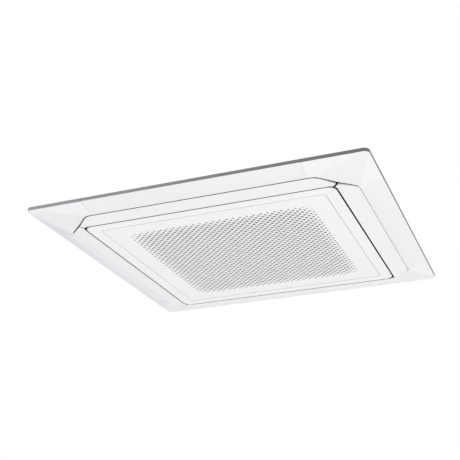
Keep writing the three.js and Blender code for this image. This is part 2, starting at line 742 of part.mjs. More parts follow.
// Diagonal cylinder through the cut corner at -X, +Y, for a pipe at a given height.
function cornerBore(radius, height, length, shift) {
  const bore = new THREE.CylinderGeometry(radius, radius, length, 16).rotateZ(Math.PI / 4);
  const diagonal = CABINET_REACH / 2;
  return solid(bore.translate(-diagonal + shift, diagonal + shift, height));
}

const wireBore = () => (
  cylinder(WIRE_INLET.radius + 1, 60, 16, 'x', [CABINET_HALF, WIRE_INLET.y, WIRE_INLET.z])
);

// The drain pipe climbs from the pump and leaves through the +Y side.
function drainTube(radius) {
  const rise = [[PUMP.x, PUMP.y + 27.5, 122], [PUMP.x, PUMP.y + 38, 122], [PUMP.x + 6, 368, DRAIN.z - 6]];
  return tube([...rise, [DRAIN.x, 404, DRAIN.z], [DRAIN.x, 448, DRAIN.z]], radius, 12, 10);
}

// Cuts the opening for both refrigerant pipes through the corner at -X, +Y.
function pipeWindow(diagonal, depth) {
  const window = new THREE.BoxGeometry(76, depth, 90).rotateZ(Math.PI / 4);
  const shift = GAS_PIPE.shift;
  return solid(window.translate(-diagonal + shift, diagonal + shift, PIPE_WINDOW_Z));
}

function cabinetShell() {
  const wall = prism(octagon(0), CABINET_BOTTOM, CABINET_TOP - 2, [octagon(SHEET)]);
  const drainHole = drainTube(DRAIN.radius + 1.5);
  return cut(wall, [pipeWindow(CABINET_REACH / 2, 30), drainHole, wireBore()]);
}

function topPlate() {
  const plate = prism(octagon(0), CABINET_TOP - 1.7, CABINET_TOP);
  const rib = prism(filleted(rectangle(120, 360, -14, 14), 13.9, 3), CABINET_TOP - 1, CABINET_TOP + 2);
  const ribs = QUARTERS.map((quarter) => quarterTurned(rib, quarter + 0.5));
  return join([plate, ...ribs]);
}

function insulationLiner() {
  const outer = octagon(SHEET + GAP);
  const inner = octagon(SHEET + LINER);
  const top = CABINET_TOP - 2.3;
  const wall = prism(outer, PAN_TOP + GAP, top, [inner]);
  const lid = prism(outer, COIL_TOP + 4, top, [circle(0, 0, 110, 28)]);
  const drainHole = drainTube(DRAIN.radius + 1.5);
  return cut(join([wall, lid]), [pipeWindow(COIL_HALF, 60), drainHole, wireBore()]);
}

// The moulded pan: outlet ducts, the fan opening, a trough under the coil, a box recess.
function drainPan() {
  const inset = SHEET + GAP;
  const ducts = outletHoles(OUTLET_NEAR, OUTLET_FAR, OUTLET_HALF_LENGTH);
  const slab = prism(octagon(inset), CABINET_BOTTOM, PAN_TOP, [circle(0, 0, 242, FAN_FACETS), ...ducts]);
  const trough = prism(roundSquare(350, 80, 3), TROUGH_Z, PAN_TOP + 1, [roundSquare(290, 30, 3)]);
  const sump = prism(rectangle(-330, -240, 240, 330), SUMP_Z, PAN_TOP + 1);
  const recess = box(-152, 152, -343, -250, CABINET_BOTTOM - 1, 26);
  return cut(slab, [trough, sump, recess]);
}

// A foam strip round one outlet, squeezed between the panel tray and the pan.
function outletGasket() {
  const length = OUTLET_HALF_LENGTH + 3;
  const outline = rectangle(OUTLET_NEAR - 6, OUTLET_FAR + 8, -length - 8, length + 8);
  const hole = rectangle(OUTLET_NEAR - 1, OUTLET_FAR + 1, -length, length);
  return prism(outline, GAP, CABINET_BOTTOM - GAP, [hole]);
}

function controlBox() {
  const body = box(-150, 150, -341, -252, 2, 25.5);
  const terminals = box(-120, -60, -335, -300, 6, 15);
  return cut(body, [box(-146, 146, -337, -256, 0, 14)]).add(terminals);
}

function controlCover() {
  const plate = box(-152, 152, -343, -250, -0.6, 0.4);
  const lip = box(-152, 152, -343, -341.8, -0.6, 1.4);
  return plate.add(lip);
}

// An L bracket with an open slot for a hanging rod, on each cut corner.
function hangerBracket() {
  const face = CABINET_REACH / Math.SQRT2 + GAP;
  const low = HANGER_Z;
  const back = box(face, face + 3, -45, 45, low, low + 52);
  const shelf = box(face, face + 52, -30, 30, low, low + 3);
  const mouth = box(face + 24, face + 60, -6.5, 6.5, low - 5, low + 8);
  const slot = mouth.add(cylinder(6.5, 20, 16, 'z', [face + 24, 0, low]));
  const gusset = [-30, 27].map((y) => {
    const side = new THREE.Shape([[0, 0], [42, 0], [0, 34]].map(([x, z]) => new THREE.Vector2(x, z)));
    const web = new THREE.ExtrudeGeometry(side, { depth: 3, bevelEnabled: false }).rotateX(Math.PI / 2);
    return solid(web.translate(face + 1, y + 3, low + 1));
  });
  return cut(join([back, shelf, ...gusset]), [slot]);
}

function makeCabinet() {
  const cabinet = new THREE.Group();
  cabinet.add(part('cabinet_shell', cabinetShell(), STEEL()));
  cabinet.add(part('top_plate', topPlate(), STEEL()));
  cabinet.add(part('insulation_liner', insulationLiner(), FOAM()));
  cabinet.add(part('drain_pan', drainPan(), FOAM()));
  cabinet.add(part('control_box', controlBox(), STEEL()));
  cabinet.add(part('control_box_cover', controlCover(), STEEL()));
  for (const quarter of QUARTERS) {
    const bracket = part(`hanger_bracket_${quarter + 1}`, hangerBracket(), STEEL());
    bracket.rotation.z = ((quarter - 1.5) * Math.PI) / 2;
    const gasket = part(`outlet_gasket_${quarter + 1}`, outletGasket(), DARK());
    gasket.rotation.z = ((quarter - 1) * Math.PI) / 2;
    cabinet.add(bracket, gasket);
  }
  return cabinet;
}

// ---- Pipes, pump and services ----

// From the coil end the pipe runs along +Y, then turns out through the cut corner.
function refrigerantPipe({ radius, height, shift }) {
  const [x, y] = [-COIL_HALF - 15, 231.2];
  const diagonal = (out) => [-CABINET_REACH / 2 - out + shift, CABINET_REACH / 2 + out + shift, height];
  return tube([[x, y, height], [x, y + 28, height], [x, y + 52, height], diagonal(2), diagonal(22),
    diagonal(42)], radius, 10, 12);
}

function flareNut({ radius, height, shift }) {
  const out = CABINET_REACH / 2 + 30;
  const profile = [[0, -10], [radius * 1.75, -10], [radius * 1.75, 6], [radius * 1.3, 12], [0, 12]];
  const nut = new THREE.LatheGeometry(profile.map(([r, y]) => new THREE.Vector2(r, y)), 6);
  const bore = new THREE.CylinderGeometry(radius + 2 * GAP, radius + 2 * GAP, 40, 16);
  const place = (geometry) => {
    geometry.rotateZ(Math.PI / 4).translate(-out + shift, out + shift, height);
    return solid(geometry);
  };
  return place(nut).subtract(place(bore));
}

function pipeCover() {
  const plate = new THREE.BoxGeometry(96, 1.5, 110).rotateZ(Math.PI / 4);
  const out = CABINET_REACH / 2 + 1;
  const shift = GAS_PIPE.shift;
  const body = solid(plate.translate(-out + shift, out + shift, PIPE_WINDOW_Z));
  return cut(body, [cornerBore(GAS_PIPE.radius + 1, GAS_PIPE.height, 80, GAS_PIPE.shift),
    cornerBore(LIQUID_PIPE.radius + 1, LIQUID_PIPE.height, 80, LIQUID_PIPE.shift)]);
}

function drainPump() {
  const body = turned([[0, 40], [16, 40], [20, 52], [20, 96], [27, 100], [27, 138], [22, 146], [0, 146]], 14);
  return solid(geometryOf(body).translate(PUMP.x, PUMP.y, 0));
}

function drainPipe() {
  return drainTube(DRAIN.radius);
}

function wiringGland() {
  const profile = [[6, -12], [12, -12], [12, 1], [19, 1], [19, 5], [15, 7], [15, 16], [6, 16]];
  const gland = geometryOf(turned(profile, 12)).rotateY(Math.PI / 2);
  return solid(gland.translate(CABINET_HALF, WIRE_INLET.y, WIRE_INLET.z));
}

function makeServices() {
  const services = new THREE.Group();
  services.add(part('gas_pipe', refrigerantPipe(GAS_PIPE), COPPER()));
  services.add(part('liquid_pipe', refrigerantPipe(LIQUID_PIPE), COPPER()));
  services.add(part('gas_flare_nut', flareNut(GAS_PIPE), BRASS()));
  services.add(part('liquid_flare_nut', flareNut(LIQUID_PIPE), BRASS()));
  services.add(part('pipe_cover', pipeCover(), STEEL()));
  services.add(part('drain_pump', drainPump(), WHITE()));
  services.add(part('drain_pipe', drainPipe(), FOAM()));
  services.add(part('wiring_gland', wiringGland(), DARK()));
  return services;
}

// ---- Assembly ----

const cassette = new THREE.Group();
cassette.add(makePanel());
cassette.add(makeVanes());
cassette.add(makeGrille());
cassette.add(makeFan());
cassette.add(makeCoil());
cassette.add(makeCabinet());
cassette.add(makeServices());

export default cassette;
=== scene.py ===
import json
import math

import bmesh
import bpy
from mathutils import Matrix, Vector
from mathutils.geometry import delaunay_2d_cdt

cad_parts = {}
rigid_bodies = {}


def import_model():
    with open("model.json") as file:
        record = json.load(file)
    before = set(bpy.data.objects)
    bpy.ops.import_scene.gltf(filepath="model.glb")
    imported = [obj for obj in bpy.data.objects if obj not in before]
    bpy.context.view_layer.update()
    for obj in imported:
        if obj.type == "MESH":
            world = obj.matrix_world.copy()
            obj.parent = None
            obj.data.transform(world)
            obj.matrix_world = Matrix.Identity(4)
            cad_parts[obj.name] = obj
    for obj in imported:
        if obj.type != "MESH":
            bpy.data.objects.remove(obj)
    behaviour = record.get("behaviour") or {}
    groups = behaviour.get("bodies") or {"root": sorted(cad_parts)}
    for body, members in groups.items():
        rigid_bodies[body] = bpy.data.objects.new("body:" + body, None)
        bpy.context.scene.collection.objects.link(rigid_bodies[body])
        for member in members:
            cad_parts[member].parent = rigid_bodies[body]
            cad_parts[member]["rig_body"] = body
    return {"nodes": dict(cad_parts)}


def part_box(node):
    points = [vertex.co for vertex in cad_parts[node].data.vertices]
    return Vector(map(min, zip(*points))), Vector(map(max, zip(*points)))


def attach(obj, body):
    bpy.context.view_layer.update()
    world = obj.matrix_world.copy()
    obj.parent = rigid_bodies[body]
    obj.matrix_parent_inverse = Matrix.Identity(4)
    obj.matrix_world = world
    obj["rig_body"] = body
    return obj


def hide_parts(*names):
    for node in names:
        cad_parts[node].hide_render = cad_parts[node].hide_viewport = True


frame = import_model()
bpy.context.view_layer.update()

MM = 0.001
NODES = frame["nodes"]
QUARTERS = range(4)
MATERIALS = {}


# ---- Colours ----

def linear(level):
    """An sRGB level from 0 to 255 as linear light."""
    c = level / 255
    return c / 12.92 if c <= 0.04045 else ((c + 0.055) / 1.055) ** 2.4


def rgb(red, green, blue):
    return (linear(red), linear(green), linear(blue), 1.0)


def scaled(colour, factor):
    return tuple(min(1.0, c * factor) for c in colour[:3]) + (1.0,)


# ---- Material nodes ----

class Tree:
    """A node tree: short calls that add a node and link it."""

    def __init__(self, owner):
        owner.use_nodes = True
        self.nodes, self.links = owner.node_tree.nodes, owner.node_tree.links

    def put(self, socket, value):
        if isinstance(value, bpy.types.Node):
            value = value.outputs[0]
        if isinstance(value, bpy.types.NodeSocket):
            self.links.new(value, socket)
        else:
            socket.default_value = value

    def node(self, kind, inputs=(), **settings):
        made = self.nodes.new(kind)
        for key, value in settings.items():
            setattr(made, key, value)
        for key, value in dict(inputs).items():
            self.put(made.inputs[key], value)
        return made

    def math(self, operation, a, b=0.0):
        return self.node("ShaderNodeMath", {0: a, 1: b}, operation=operation).outputs[0]

    def seen_directly(self):
        """1 for camera, mirror and glass rays, which see the plain white background."""
        rays = self.node("ShaderNodeLightPath").outputs
        total = rays["Is Camera Ray"]
        for name in ("Is Glossy Ray", "Is Transmission Ray"):
            total = self.math("MAXIMUM", total, rays[name])
        return total

    def mix_shaders(self, factor, a, b, end):
        """Two shaders mixed into the node that ends the tree."""
        mixed = self.node("ShaderNodeMixShader", {0: factor, 1: a, 2: b})
        self.put(self.nodes[end].inputs["Surface"], mixed)


class Graph(Tree):
    """A material's node tree, with its shader and its object coordinates."""

    def __init__(self, name, colour, roughness, metallic=0.0):
        self.material = MATERIALS[name] = bpy.data.materials.new(name)
        super().__init__(self.material)
        self.shader = self.nodes["Principled BSDF"]
        self.colour(colour)
        self.roughness(roughness)
        self.put(self.shader.inputs["Metallic"], metallic)
        self.coords = self.node("ShaderNodeTexCoord").outputs
        self.place = self.coords["Object"]
        self.parts = {}

    def split(self, output, i):
        if output not in self.parts:
            self.parts[output] = self.node("ShaderNodeSeparateXYZ", {0: self.coords[output]}).outputs
        return self.parts[output][i]

    def xyz(self, i):
        return self.split("Object", i)

    def facing(self, i):
        """The surface normal's X, Y or Z in the object's own axes."""
        return self.split("Normal", i)

    def level_share(self):
        """1 on faces that look straight up or down, 0 on upright ones."""
        return self.math("ABSOLUTE", self.facing(2))

    def size_of(self, i):
        return self.math("ABSOLUTE", self.xyz(i))

    def heading(self, i):
        """Which way a wall faces in plan, whatever its slope."""
        flat = self.math("SUBTRACT", 1.0, self.both(self.facing(2), self.facing(2)))
        return self.math("DIVIDE", self.facing(i), self.math("SQRT", self.math("MAXIMUM", flat, 0.0001)))

    def steep(self, limit=0.5):
        """1 on walls, 0 on faces that look up or down."""
        return self.below(self.level_share(), limit)

    def reach(self):
        """Distance from the middle towards the nearest side."""
        return self.math("MAXIMUM", self.size_of(0), self.size_of(1))

    def across(self):
        """Distance from the middle towards the nearest corner, times the root of two."""
        return self.math("ADD", self.size_of(0), self.size_of(1))

    def noise(self, scale, detail=2.0, place=None):
        inputs = {"Vector": place or self.place, "Scale": scale, "Detail": detail}
        return self.node("ShaderNodeTexNoise", inputs).outputs["Fac"]

    def cells(self, scale, feature="F1", output="Distance"):
        inputs = {"Vector": self.place, "Scale": scale}
        return self.node("ShaderNodeTexVoronoi", inputs, feature=feature).outputs[output]

    def spread(self, value, low, high, to_low=0.0, to_high=1.0):
        inputs = {"Value": value, "From Min": low, "From Max": high, "To Min": to_low, "To Max": to_high}
        return self.node("ShaderNodeMapRange", inputs).outputs[0]

    def mix(self, factor, a, b):
        inputs = {"Factor": factor, "A": a, "B": b}
        return self.node("ShaderNodeMix", inputs, data_type="RGBA").outputs["Result"]

    def above(self, value, limit):
        return self.math("GREATER_THAN", value, limit)

    def below(self, value, limit):
        return self.math("LESS_THAN", value, limit)

    def both(self, a, b):
        return self.math("MULTIPLY", a, b)

    def colour(self, value):
        self.put(self.shader.inputs["Base Color"], value)

    def roughness(self, value):
        self.put(self.shader.inputs["Roughness"], value)

    def bump(self, height, distance):
        made = self.node("ShaderNodeBump", {"Height": height, "Distance": distance, "Strength": 1.0})
        self.put(self.shader.inputs["Normal"], made)
        return self


def moulded(name, colour, roughness, grain=1500.0, depth=0.00002, drift=0.006):
    """Moulded plastic: a slow drift of tone, a fine eroded grain and uneven gloss."""
    g = Graph(name, colour, roughness)
    slow = g.noise(5.0, 3.0)
    g.base = g.mix(g.spread(slow, 0.35, 0.65), scaled(colour, 1 - drift), scaled(colour, 1 + drift))
    g.colour(g.base)
    g.roughness(g.spread(g.noise(60.0, 2.0), 0.3, 0.7, roughness - 0.04, roughness + 0.05))
    return g.bump(g.noise(grain, 1.0), depth)


# ---- Materials ----

WHITE = rgb(241, 240, 243)
VANE_WHITE = rgb(243, 243, 245)
# Painted light: a lighter copy of the white that brightens the flat faces of the grille and buttons,
# which look straight down.
GRILLE_LIT_WHITE = rgb(247, 247, 249)
# Painted shade: greyer copies of the white for the slopes that face -X.
LEFT_SHADED_WHITE, LEFT_FRONT_SHADED_WHITE = rgb(235, 234, 239), rgb(226, 225, 231)
# Painted shade: the dark of the surfaces over the vanes, seen through the gaps.
GAP_SHADE_DARK = rgb(42, 43, 45)
# Where the tones change: distances towards a side (reach) or a corner (across).
FRONT = -323 * MM      # the gaps beyond this line get painted shade
PANEL_EDGE, COVER_EDGE = 470 * MM, 452 * MM
LIP_LOW, LIP_HIGH, LIP_REACH, LIP_ACROSS = -25.0 * MM, -23.8 * MM, 417 * MM, 739.1 * MM
GAP_SHADE_REACH, GAP_SHADE_LOW = 418.2 * MM, -22.6 * MM
RIDGE_SLOPE, RIDGE = 1.54, 738.5 * MM      # where a cover's slope turns into its facet
MOUTH_SHADE_ACROSS = 741.2 * MM
VANE_END, VANE_CUT_ACROSS, VANE_INNER_REACH = 338 * MM, 733.9 * MM, 364.5 * MM
GRILLE_EDGE, GROOVE_REACH, PLATE_EDGE, FIELD_REACH = 350 * MM, 325 * MM, 322 * MM, 300 * MM


def shaded_edge_band(g):
    """Grey of the upright edge against the ceiling, with painted shade that darkens it towards +X."""
    tone = g.spread(g.xyz(0), -475 * MM, 475 * MM, 0.0, 1.0)
    streak = g.spread(g.noise(9.0, 2.0), 0.3, 0.7, -0.04, 0.04)
    return g.mix(g.math("ADD", tone, streak), rgb(152, 149, 154), rgb(98, 98, 99))


def left_shade(g):
    """Painted shade: the slopes that face -X are greyer, most of all towards the front."""
    shade = g.mix(g.spread(g.xyz(1), -360 * MM, 0.0), LEFT_FRONT_SHADED_WHITE, LEFT_SHADED_WHITE)
    return g.mix(g.spread(g.facing(0), -0.19, -0.25), g.base, shade)


def shaded_lip(g, skin):
    """Painted shade on the step behind the panel's mouth: greyer than the skin, and dark at the front.
    """
    level_face = g.above(g.level_share(), 0.99)
    step = g.both(g.math("MAXIMUM", level_face, g.steep(0.3)), g.below(g.reach(), LIP_REACH))
    step = g.both(step, g.below(g.across(), LIP_ACROSS))
    step = g.both(step, g.both(g.above(g.xyz(2), LIP_LOW), g.below(g.xyz(2), LIP_HIGH)))
    beside = g.above(g.math("SUBTRACT", g.size_of(0), g.size_of(1)), 0.0)
    # Painted shade: lighter on the X sides, greyer on the Y sides, dark at the front.
    pale = g.mix(beside, rgb(186, 185, 188), rgb(226, 225, 228))
    tone = g.mix(g.below(g.xyz(1), FRONT), pale, rgb(96, 96, 98))
    return g.mix(step, skin, tone)


def panel_plastic():
    """White skin, a grey edge band against the ceiling and dark painted shade over the vanes."""
    g = moulded("panel_plastic", WHITE, 0.42)
    edge = g.both(g.above(g.reach(), PANEL_EDGE), g.steep(0.6))
    # Painted shade: the surfaces over the vanes are dark, so that the gaps read as shade.
    inner = g.both(g.below(g.reach(), GAP_SHADE_REACH), g.above(g.xyz(2), GAP_SHADE_LOW))
    gap_shade = g.mix(g.spread(g.noise(40.0, 3.0), 0.3, 0.7), GAP_SHADE_DARK, scaled(GAP_SHADE_DARK, 1.3))
    g.colour(g.mix(inner, shaded_lip(g, g.mix(edge, left_shade(g), shaded_edge_band(g))), gap_shade))


def cover_plastic():
    """The corner covers: as the panel, with painted light on their side facets and painted shade beside
    the mouth on the +Y side.
    """
    g = moulded("cover_plastic", WHITE, 0.42)
    apart = g.math("ABSOLUTE", g.math("SUBTRACT", g.size_of(0), g.size_of(1)))
    ridge = g.math("ADD", apart, g.math("MULTIPLY", g.reach(), RIDGE_SLOPE))
    side = g.both(g.above(ridge, RIDGE), g.below(g.facing(2), -0.9))
    # Painted light: the side facets are a lighter white.
    skin = g.mix(g.both(side, g.above(g.facing(0), -0.1)), left_shade(g), scaled(WHITE, 1.035))
    # Painted shade: a grey strip on the cover beside the mouth, on the +Y side.
    mouth_shade = g.both(g.below(g.across(), MOUTH_SHADE_ACROSS), g.below(g.reach(), LIP_REACH))
    skin = g.mix(g.both(mouth_shade, g.above(g.xyz(1), 0.0)), skin, rgb(200, 200, 202))
    edge = g.both(g.above(g.reach(), COVER_EDGE), g.steep(0.6))
    g.colour(shaded_lip(g, g.mix(edge, skin, shaded_edge_band(g))))


def vane_plastic():
    """White blades, with painted shade on their walls in the front and side gaps, where the slots lie
    unlit.
    """
    g = moulded("vane_plastic", VANE_WHITE, 0.36, grain=1900.0)
    # Painted shade on the walls in the near gap: greyer where they face along Y, none at the back tip.
    near_wall_shade = g.mix(g.math("ABSOLUTE", g.heading(0)), rgb(146, 146, 148), rgb(205, 203, 207))
    back_tip = g.both(g.below(g.xyz(0), -VANE_END), g.above(g.xyz(1), VANE_END))
    near_wall_shade = g.mix(back_tip, near_wall_shade, g.base)
    # Painted shade on the far walls at the front, lighter towards the corners.
    shaded = g.math("MAXIMUM", g.above(g.xyz(0), 0.0), g.below(g.facing(0), 0.3))
    across = g.above(g.across(), VANE_CUT_ACROSS)
    front_gap_shade = g.mix(across, rgb(128, 128, 130), rgb(190, 190, 192))
    far_wall_shade = g.mix(g.both(g.below(g.xyz(1), FRONT), shaded), g.base, front_gap_shade)
    wall = g.mix(g.below(g.reach(), VANE_INNER_REACH), far_wall_shade, near_wall_shade)
    g.colour(g.mix(g.steep(0.8), g.base, wall))


def groove_shade(g, ahead, beside):
    """Painted shade on the groove's walls: its grey depends on whether they face along Y or X."""
    ahead, beside = (rgb(grey, grey, grey + 3) for grey in (ahead, beside))
    return g.mix(g.math("ABSOLUTE", g.heading(0)), ahead, beside)


def grille_plastic():
    """The grille's frame: white, with painted shade on its outer edge where it stands in the gap, near
    black facing +X, and in the groove.
    """
    g = moulded("grille_plastic", GRILLE_LIT_WHITE, 0.42)
    # Painted shade in the gap: near black where the edge faces +X, grey where it faces -X or along Y.
    to_right = g.spread(g.heading(0), 0.75, 0.97)
    to_left = g.spread(g.heading(0), -0.15, -0.5)
    tone = g.mix(to_right, g.mix(to_left, rgb(108, 108, 110), rgb(150, 148, 152)), rgb(14, 14, 15))
    edge = g.both(g.above(g.reach(), GRILLE_EDGE), g.steep(0.8))
    groove = g.both(g.below(g.reach(), GROOVE_REACH), g.steep(0.8))
    g.colour(g.mix(groove, g.mix(edge, g.base, tone), groove_shade(g, 50, 176)))


def perforated_plastic():
    """White plate with painted shade on its hole walls, darker with depth, and on its edge in the
    groove.
    """
    g = moulded("perforated_plastic", GRILLE_LIT_WHITE, 0.45, grain=1700.0)
    # Painted shade inside the holes, darker further in.
    inside = g.both(g.steep(0.5), g.below(g.reach(), FIELD_REACH))
    depth = g.spread(g.xyz(2), -32.2 * MM, -30.6 * MM)
    holes = g.mix(depth, rgb(221, 219, 222), rgb(208, 206, 209))
    rim = g.both(g.steep(0.8), g.above(g.reach(), PLATE_EDGE))
    g.colour(g.mix(rim, g.mix(inside, g.base, holes), groove_shade(g, 150, 216)))


def foam_beads(name, colour):
    """Expanded foam: a tile of pressed beads with darker joints between them."""
    g = Graph(name, colour, 0.85)
    joint = g.spread(g.cells(260.0, "DISTANCE_TO_EDGE"), 0.0, 0.09)
    tone = g.spread(g.cells(260.0, "F1", "Color"), 0.0, 1.0)
    bead = g.mix(tone, scaled(colour, 0.95), scaled(colour, 1.02))
    g.colour(g.mix(joint, scaled(colour, 0.82), bead))
    g.bump(joint, 0.0003)


def galvanised(name, colour, roughness=0.38):
    """Galvanised sheet: spangles of differing brightness, rolled haze and light scuffs."""
    g = Graph(name, colour, roughness, 0.75)
    spangle = g.cells(85.0, "F1", "Color")
    haze = g.noise(7.0, 4.0)
    tone = g.math("ADD", g.spread(spangle, 0.0, 1.0, 0.0, 0.55), g.spread(haze, 0.3, 0.7, 0.0, 0.45))
    g.colour(g.mix(tone, scaled(colour, 0.8), scaled(colour, 1.18)))
    g.roughness(g.spread(spangle, 0.0, 1.0, roughness - 0.08, roughness + 0.16))
    scuffs = g.noise(420.0, 2.0)
    g.bump(g.math("ADD", scuffs, spangle), 0.00004)


def bare_metal(name, colour, roughness, stain):
    """Drawn tube or turned brass: slow staining over fine draw marks."""
    g = Graph(name, colour, roughness, 1.0)
    old = g.spread(g.noise(38.0, 4.0), 0.42, 0.68)
    g.colour(g.mix(old, colour, stain))
    g.roughness(g.spread(g.noise(90.0, 3.0), 0.3, 0.7, roughness - 0.06, roughness + 0.18))
    g.bump(g.noise(900.0, 1.0), 0.00003)


def coil_end_metal():
    """Steel end plate with copper bends standing out of it."""
    g = Graph("coil_end_metal", rgb(176, 180, 183), 0.38, 0.85)
    stands_out = g.math("MAXIMUM", g.math("MULTIPLY", g.xyz(0), -1.0), g.xyz(1))
    inward = g.math("MINIMUM", g.math("MULTIPLY", g.xyz(0), -1.0), g.xyz(1))
    copper = g.both(g.above(inward, 230.9 * MM), g.above(stands_out, 296 * MM))
    dull = g.mix(g.spread(g.noise(50.0, 3.0), 0.35, 0.65), rgb(190, 118, 80), rgb(150, 92, 66))
    spangle = g.spread(g.cells(90.0, "F1", "Color"), 0.0, 1.0)
    plate = g.mix(spangle, rgb(158, 162, 165), rgb(188, 192, 195))
    g.colour(g.mix(copper, plate, dull))
    g.bump(g.noise(700.0, 1.0), 0.00003)


def net():
    """Woven filter net: crossed threads with darker openings."""
    g = Graph("filter_net", rgb(150, 152, 155), 0.8)
    threads = []
    for i in (0, 1):
        wave = g.math("SINE", g.math("MULTIPLY", g.xyz(i), 2 * math.pi / (1.1 * MM)))
        threads.append(g.spread(wave, -0.2, 0.9))
    thread = g.math("MAXIMUM", threads[0], threads[1])
    g.colour(g.mix(thread, rgb(184, 183, 186), rgb(208, 207, 210)))
    g.bump(thread, 0.0002)


def fin_metal():
    """Aluminium fins with slight staining where water runs down."""
    g = Graph("fin_metal", rgb(200, 205, 209), 0.34, 0.9)
    drawn_out = g.node("ShaderNodeMapping", {"Vector": g.place, "Scale": (1.0, 1.0, 0.08)})
    run = g.noise(30.0, 3.0, drawn_out.outputs[0])
    g.colour(g.mix(g.spread(run, 0.4, 0.65), rgb(204, 209, 212), rgb(172, 178, 182)))
    g.bump(g.noise(500.0, 1.0), 0.00003)


panel_plastic()
cover_plastic()
vane_plastic()
grille_plastic()
perforated_plastic()
coil_end_metal()
net()
fin_metal()
moulded("button_plastic", GRILLE_LIT_WHITE, 0.42)
moulded("dark_plastic", rgb(58, 60, 63), 0.55, grain=900.0, drift=0.05)
moulded("fan_plastic", rgb(188, 194, 198), 0.48, grain=1200.0, drift=0.02)
moulded("pump_plastic", rgb(226, 227, 226), 0.5, grain=1000.0, drift=0.01)
moulded("filter_plastic", rgb(205, 209, 210), 0.55, grain=1100.0, drift=0.01)
moulded("gasket_foam", rgb(52, 53, 55), 0.9, grain=700.0, depth=0.0002, drift=0.08)
moulded("drain_foam", rgb(206, 207, 204), 0.8, grain=500.0, depth=0.0001, drift=0.03)
foam_beads("white_foam", rgb(226, 227, 225))
foam_beads("pan_foam", rgb(214, 216, 214))
galvanised("galvanised", rgb(182, 186, 189))
galvanised("bracket_steel", rgb(172, 176, 178), 0.42)
galvanised("motor_steel", rgb(150, 153, 156), 0.36)
bare_metal("copper", rgb(196, 122, 82), 0.3, rgb(140, 84, 62))
bare_metal("brass", rgb(205, 172, 96), 0.28, rgb(168, 134, 72))
bare_metal("screw_zinc", rgb(196, 198, 194), 0.3, rgb(168, 168, 156))


# ---- Meshes ----

HERE = Matrix.Identity(4)
WELD_WITHIN, CDT_WITHIN = 1e-7, 1e-6     # points nearer than this are one: metres, millimetres
CDT_LEAVES_HOLES = 2      # this kind of result leaves the holes empty


def looped(items):
    """Each item with the next, the last with the first."""
    return zip(items, [*items[1:], items[0]])


def level(loop, z):
    return [(p[0], p[1], z) for p in loop]


def ring_of(sides, radius):
    angles = [2 * math.pi * i / sides for i in range(sides)]
    return [(radius * math.cos(a), radius * math.sin(a)) for a in angles]


def side_faces(n):
    """The walls between two rings of n vertices."""
    return [(i, (i + 1) % n, n + (i + 1) % n, n + i) for i in range(n)]


def linked(name, data):
    made = bpy.data.objects.new(name, data)
    bpy.context.scene.collection.objects.link(made)
    return made


